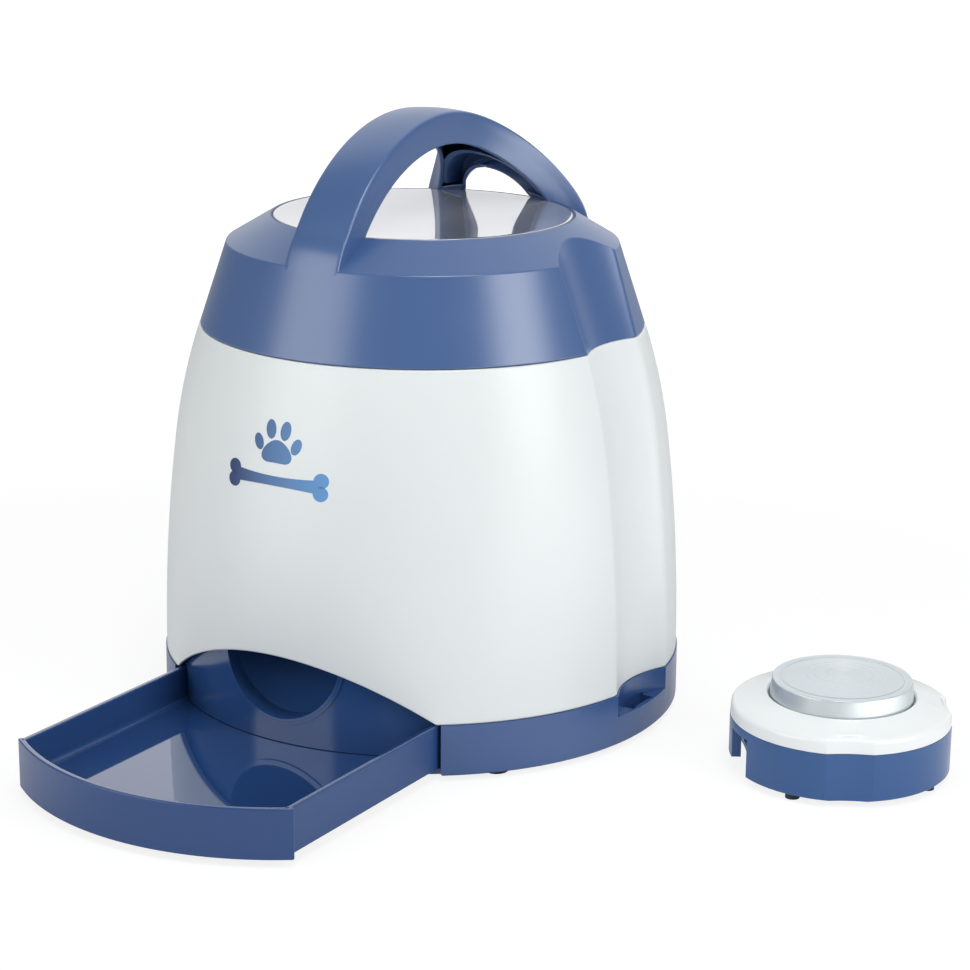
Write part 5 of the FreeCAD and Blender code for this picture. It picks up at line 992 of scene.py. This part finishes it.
def plated_metal(name, colour, roughness, streak_mm=1.2):
    """A plated metal: metallic, with fine drawn streaks that change its gloss."""
    material, tree = new_material(name)
    squeezed = add_node(tree, "Mapping", {"Scale": (1.0, 1.0, 0.12)},
                        {"Vector": object_place(tree)})
    streaks = noise(tree, squeezed.outputs["Vector"], streak_mm, 4.0)
    close_tree(tree, add_node(
        tree, "BsdfPrincipled", {"Metallic": 1.0},
        {"Base Color": mixed_colour(tree, streaks, darker(colour, 0.85), linear(colour)),
         "Roughness": ramp(tree, streaks, (0.0, roughness - 0.08), (1.0, roughness + 0.12))}))
    return material


def circuit_board(name):
    """Green solder mask over copper tracks: bricks with lighter joints show through."""
    material, tree = new_material(name)
    tracks = add_node(tree, "TexBrick",
                      {"Color1": linear("#1F6B45"), "Color2": linear("#195A3A"),
                       "Mortar": linear("#2E8A5C"), "Scale": 1 / (TRACK_MM * MM),
                       "Mortar Size": 0.03},
                      {"Vector": object_place(tree)})
    close_tree(tree, add_node(tree, "BsdfPrincipled", {"Roughness": 0.3, "IOR": 1.55},
                              {"Base Color": tracks.outputs["Color"]}))
    return material


zinc = plated_metal("steel_zinc_plated", "#A9ACB0", 0.3)
nickel = plated_metal("spring_steel_nickel_plated", "#B5B2AA", 0.22, 0.6)
motor_can = plated_metal("steel_motor_can", "#989BA0", 0.35, 2.0)
foil = brushed_metal("aluminium_foil_brushed", "#C9CCCE", 0.28, BUTTON_CENTRE)
rubber = moulded_plastic("rubber_nitrile_dark", "#2B3240", 0.7, grain_mm=0.5,
                         grain_height_mm=0.01, ior=1.52)
silicone = moulded_plastic("silicone_seal_grey", "#46566F", 0.5, ior=1.41)
frosted_pp = moulded_plastic("polypropylene_frosted", "#E4E9EA", 0.42, grain_mm=0.4, ior=1.49)
acetal = moulded_plastic("acetal_natural", "#E3E0D6", 0.38, ior=1.48)
black_abs = moulded_plastic("abs_black_textured", "#1D1F22", 0.5, grain_mm=0.4,
                            grain_height_mm=0.01)
fr4 = circuit_board("fr4_green_mask")
cell_film = faded("battery_film_cells", 4, 6, FILM_COLOURS, FILM)
button_cell_film = faded("battery_film_button_cells", 176, 178, FILM_COLOURS, FILM)

# %% Finishes of the frame's own pieces
finishes = {
    abs_blue: ("lid_cover",),
    abs_blue_base: ("base_shell", "battery_door"),
    abs_blue_button: ("button_base", "button_battery_door"),
    abs_blue_deep: ("chute", "tray"),
    abs_white: ("housing_shell",),
    abs_ring: ("button_ring",),
    brushed_cap: ("button_cap",),
    foil: ("cap_insert",),
    clear_styrene: ("window",),
    frosted_pp: ("hopper", "dosing_plate"),
    acetal: ("dosing_wheel", "output_gear", "idler_gear", "motor_pinion", "gear_case",
             "cap_carrier"),
    zinc: ("housing_screws", "plate_screws", "battery_door_screw", "button_screws", "drive_shaft",
           "idler_pin"),
    nickel: ("return_spring", "battery_contacts", "button_contacts"),
    motor_can: ("gear_motor",),
    black_abs: ("battery_box", "board_spacers", "board_parts", "sounder", "power_switch",
                "power_knob", "tact_switch"),
    cell_film: ("batteries",),
    button_cell_film: ("button_batteries",),
    fr4: ("control_board", "button_board"),
    rubber: ("rubber_feet", "button_feet"),
    silicone: ("window_gasket", "lid_seal"),
}
finish_of = {name: material for material, names in finishes.items() for name in names}
for name, thing in nodes.items():
    thing.data.materials.clear()
    thing.data.materials.append(finish_of[name])
print("finished", len(nodes), "nodes in", len(finishes), "materials")
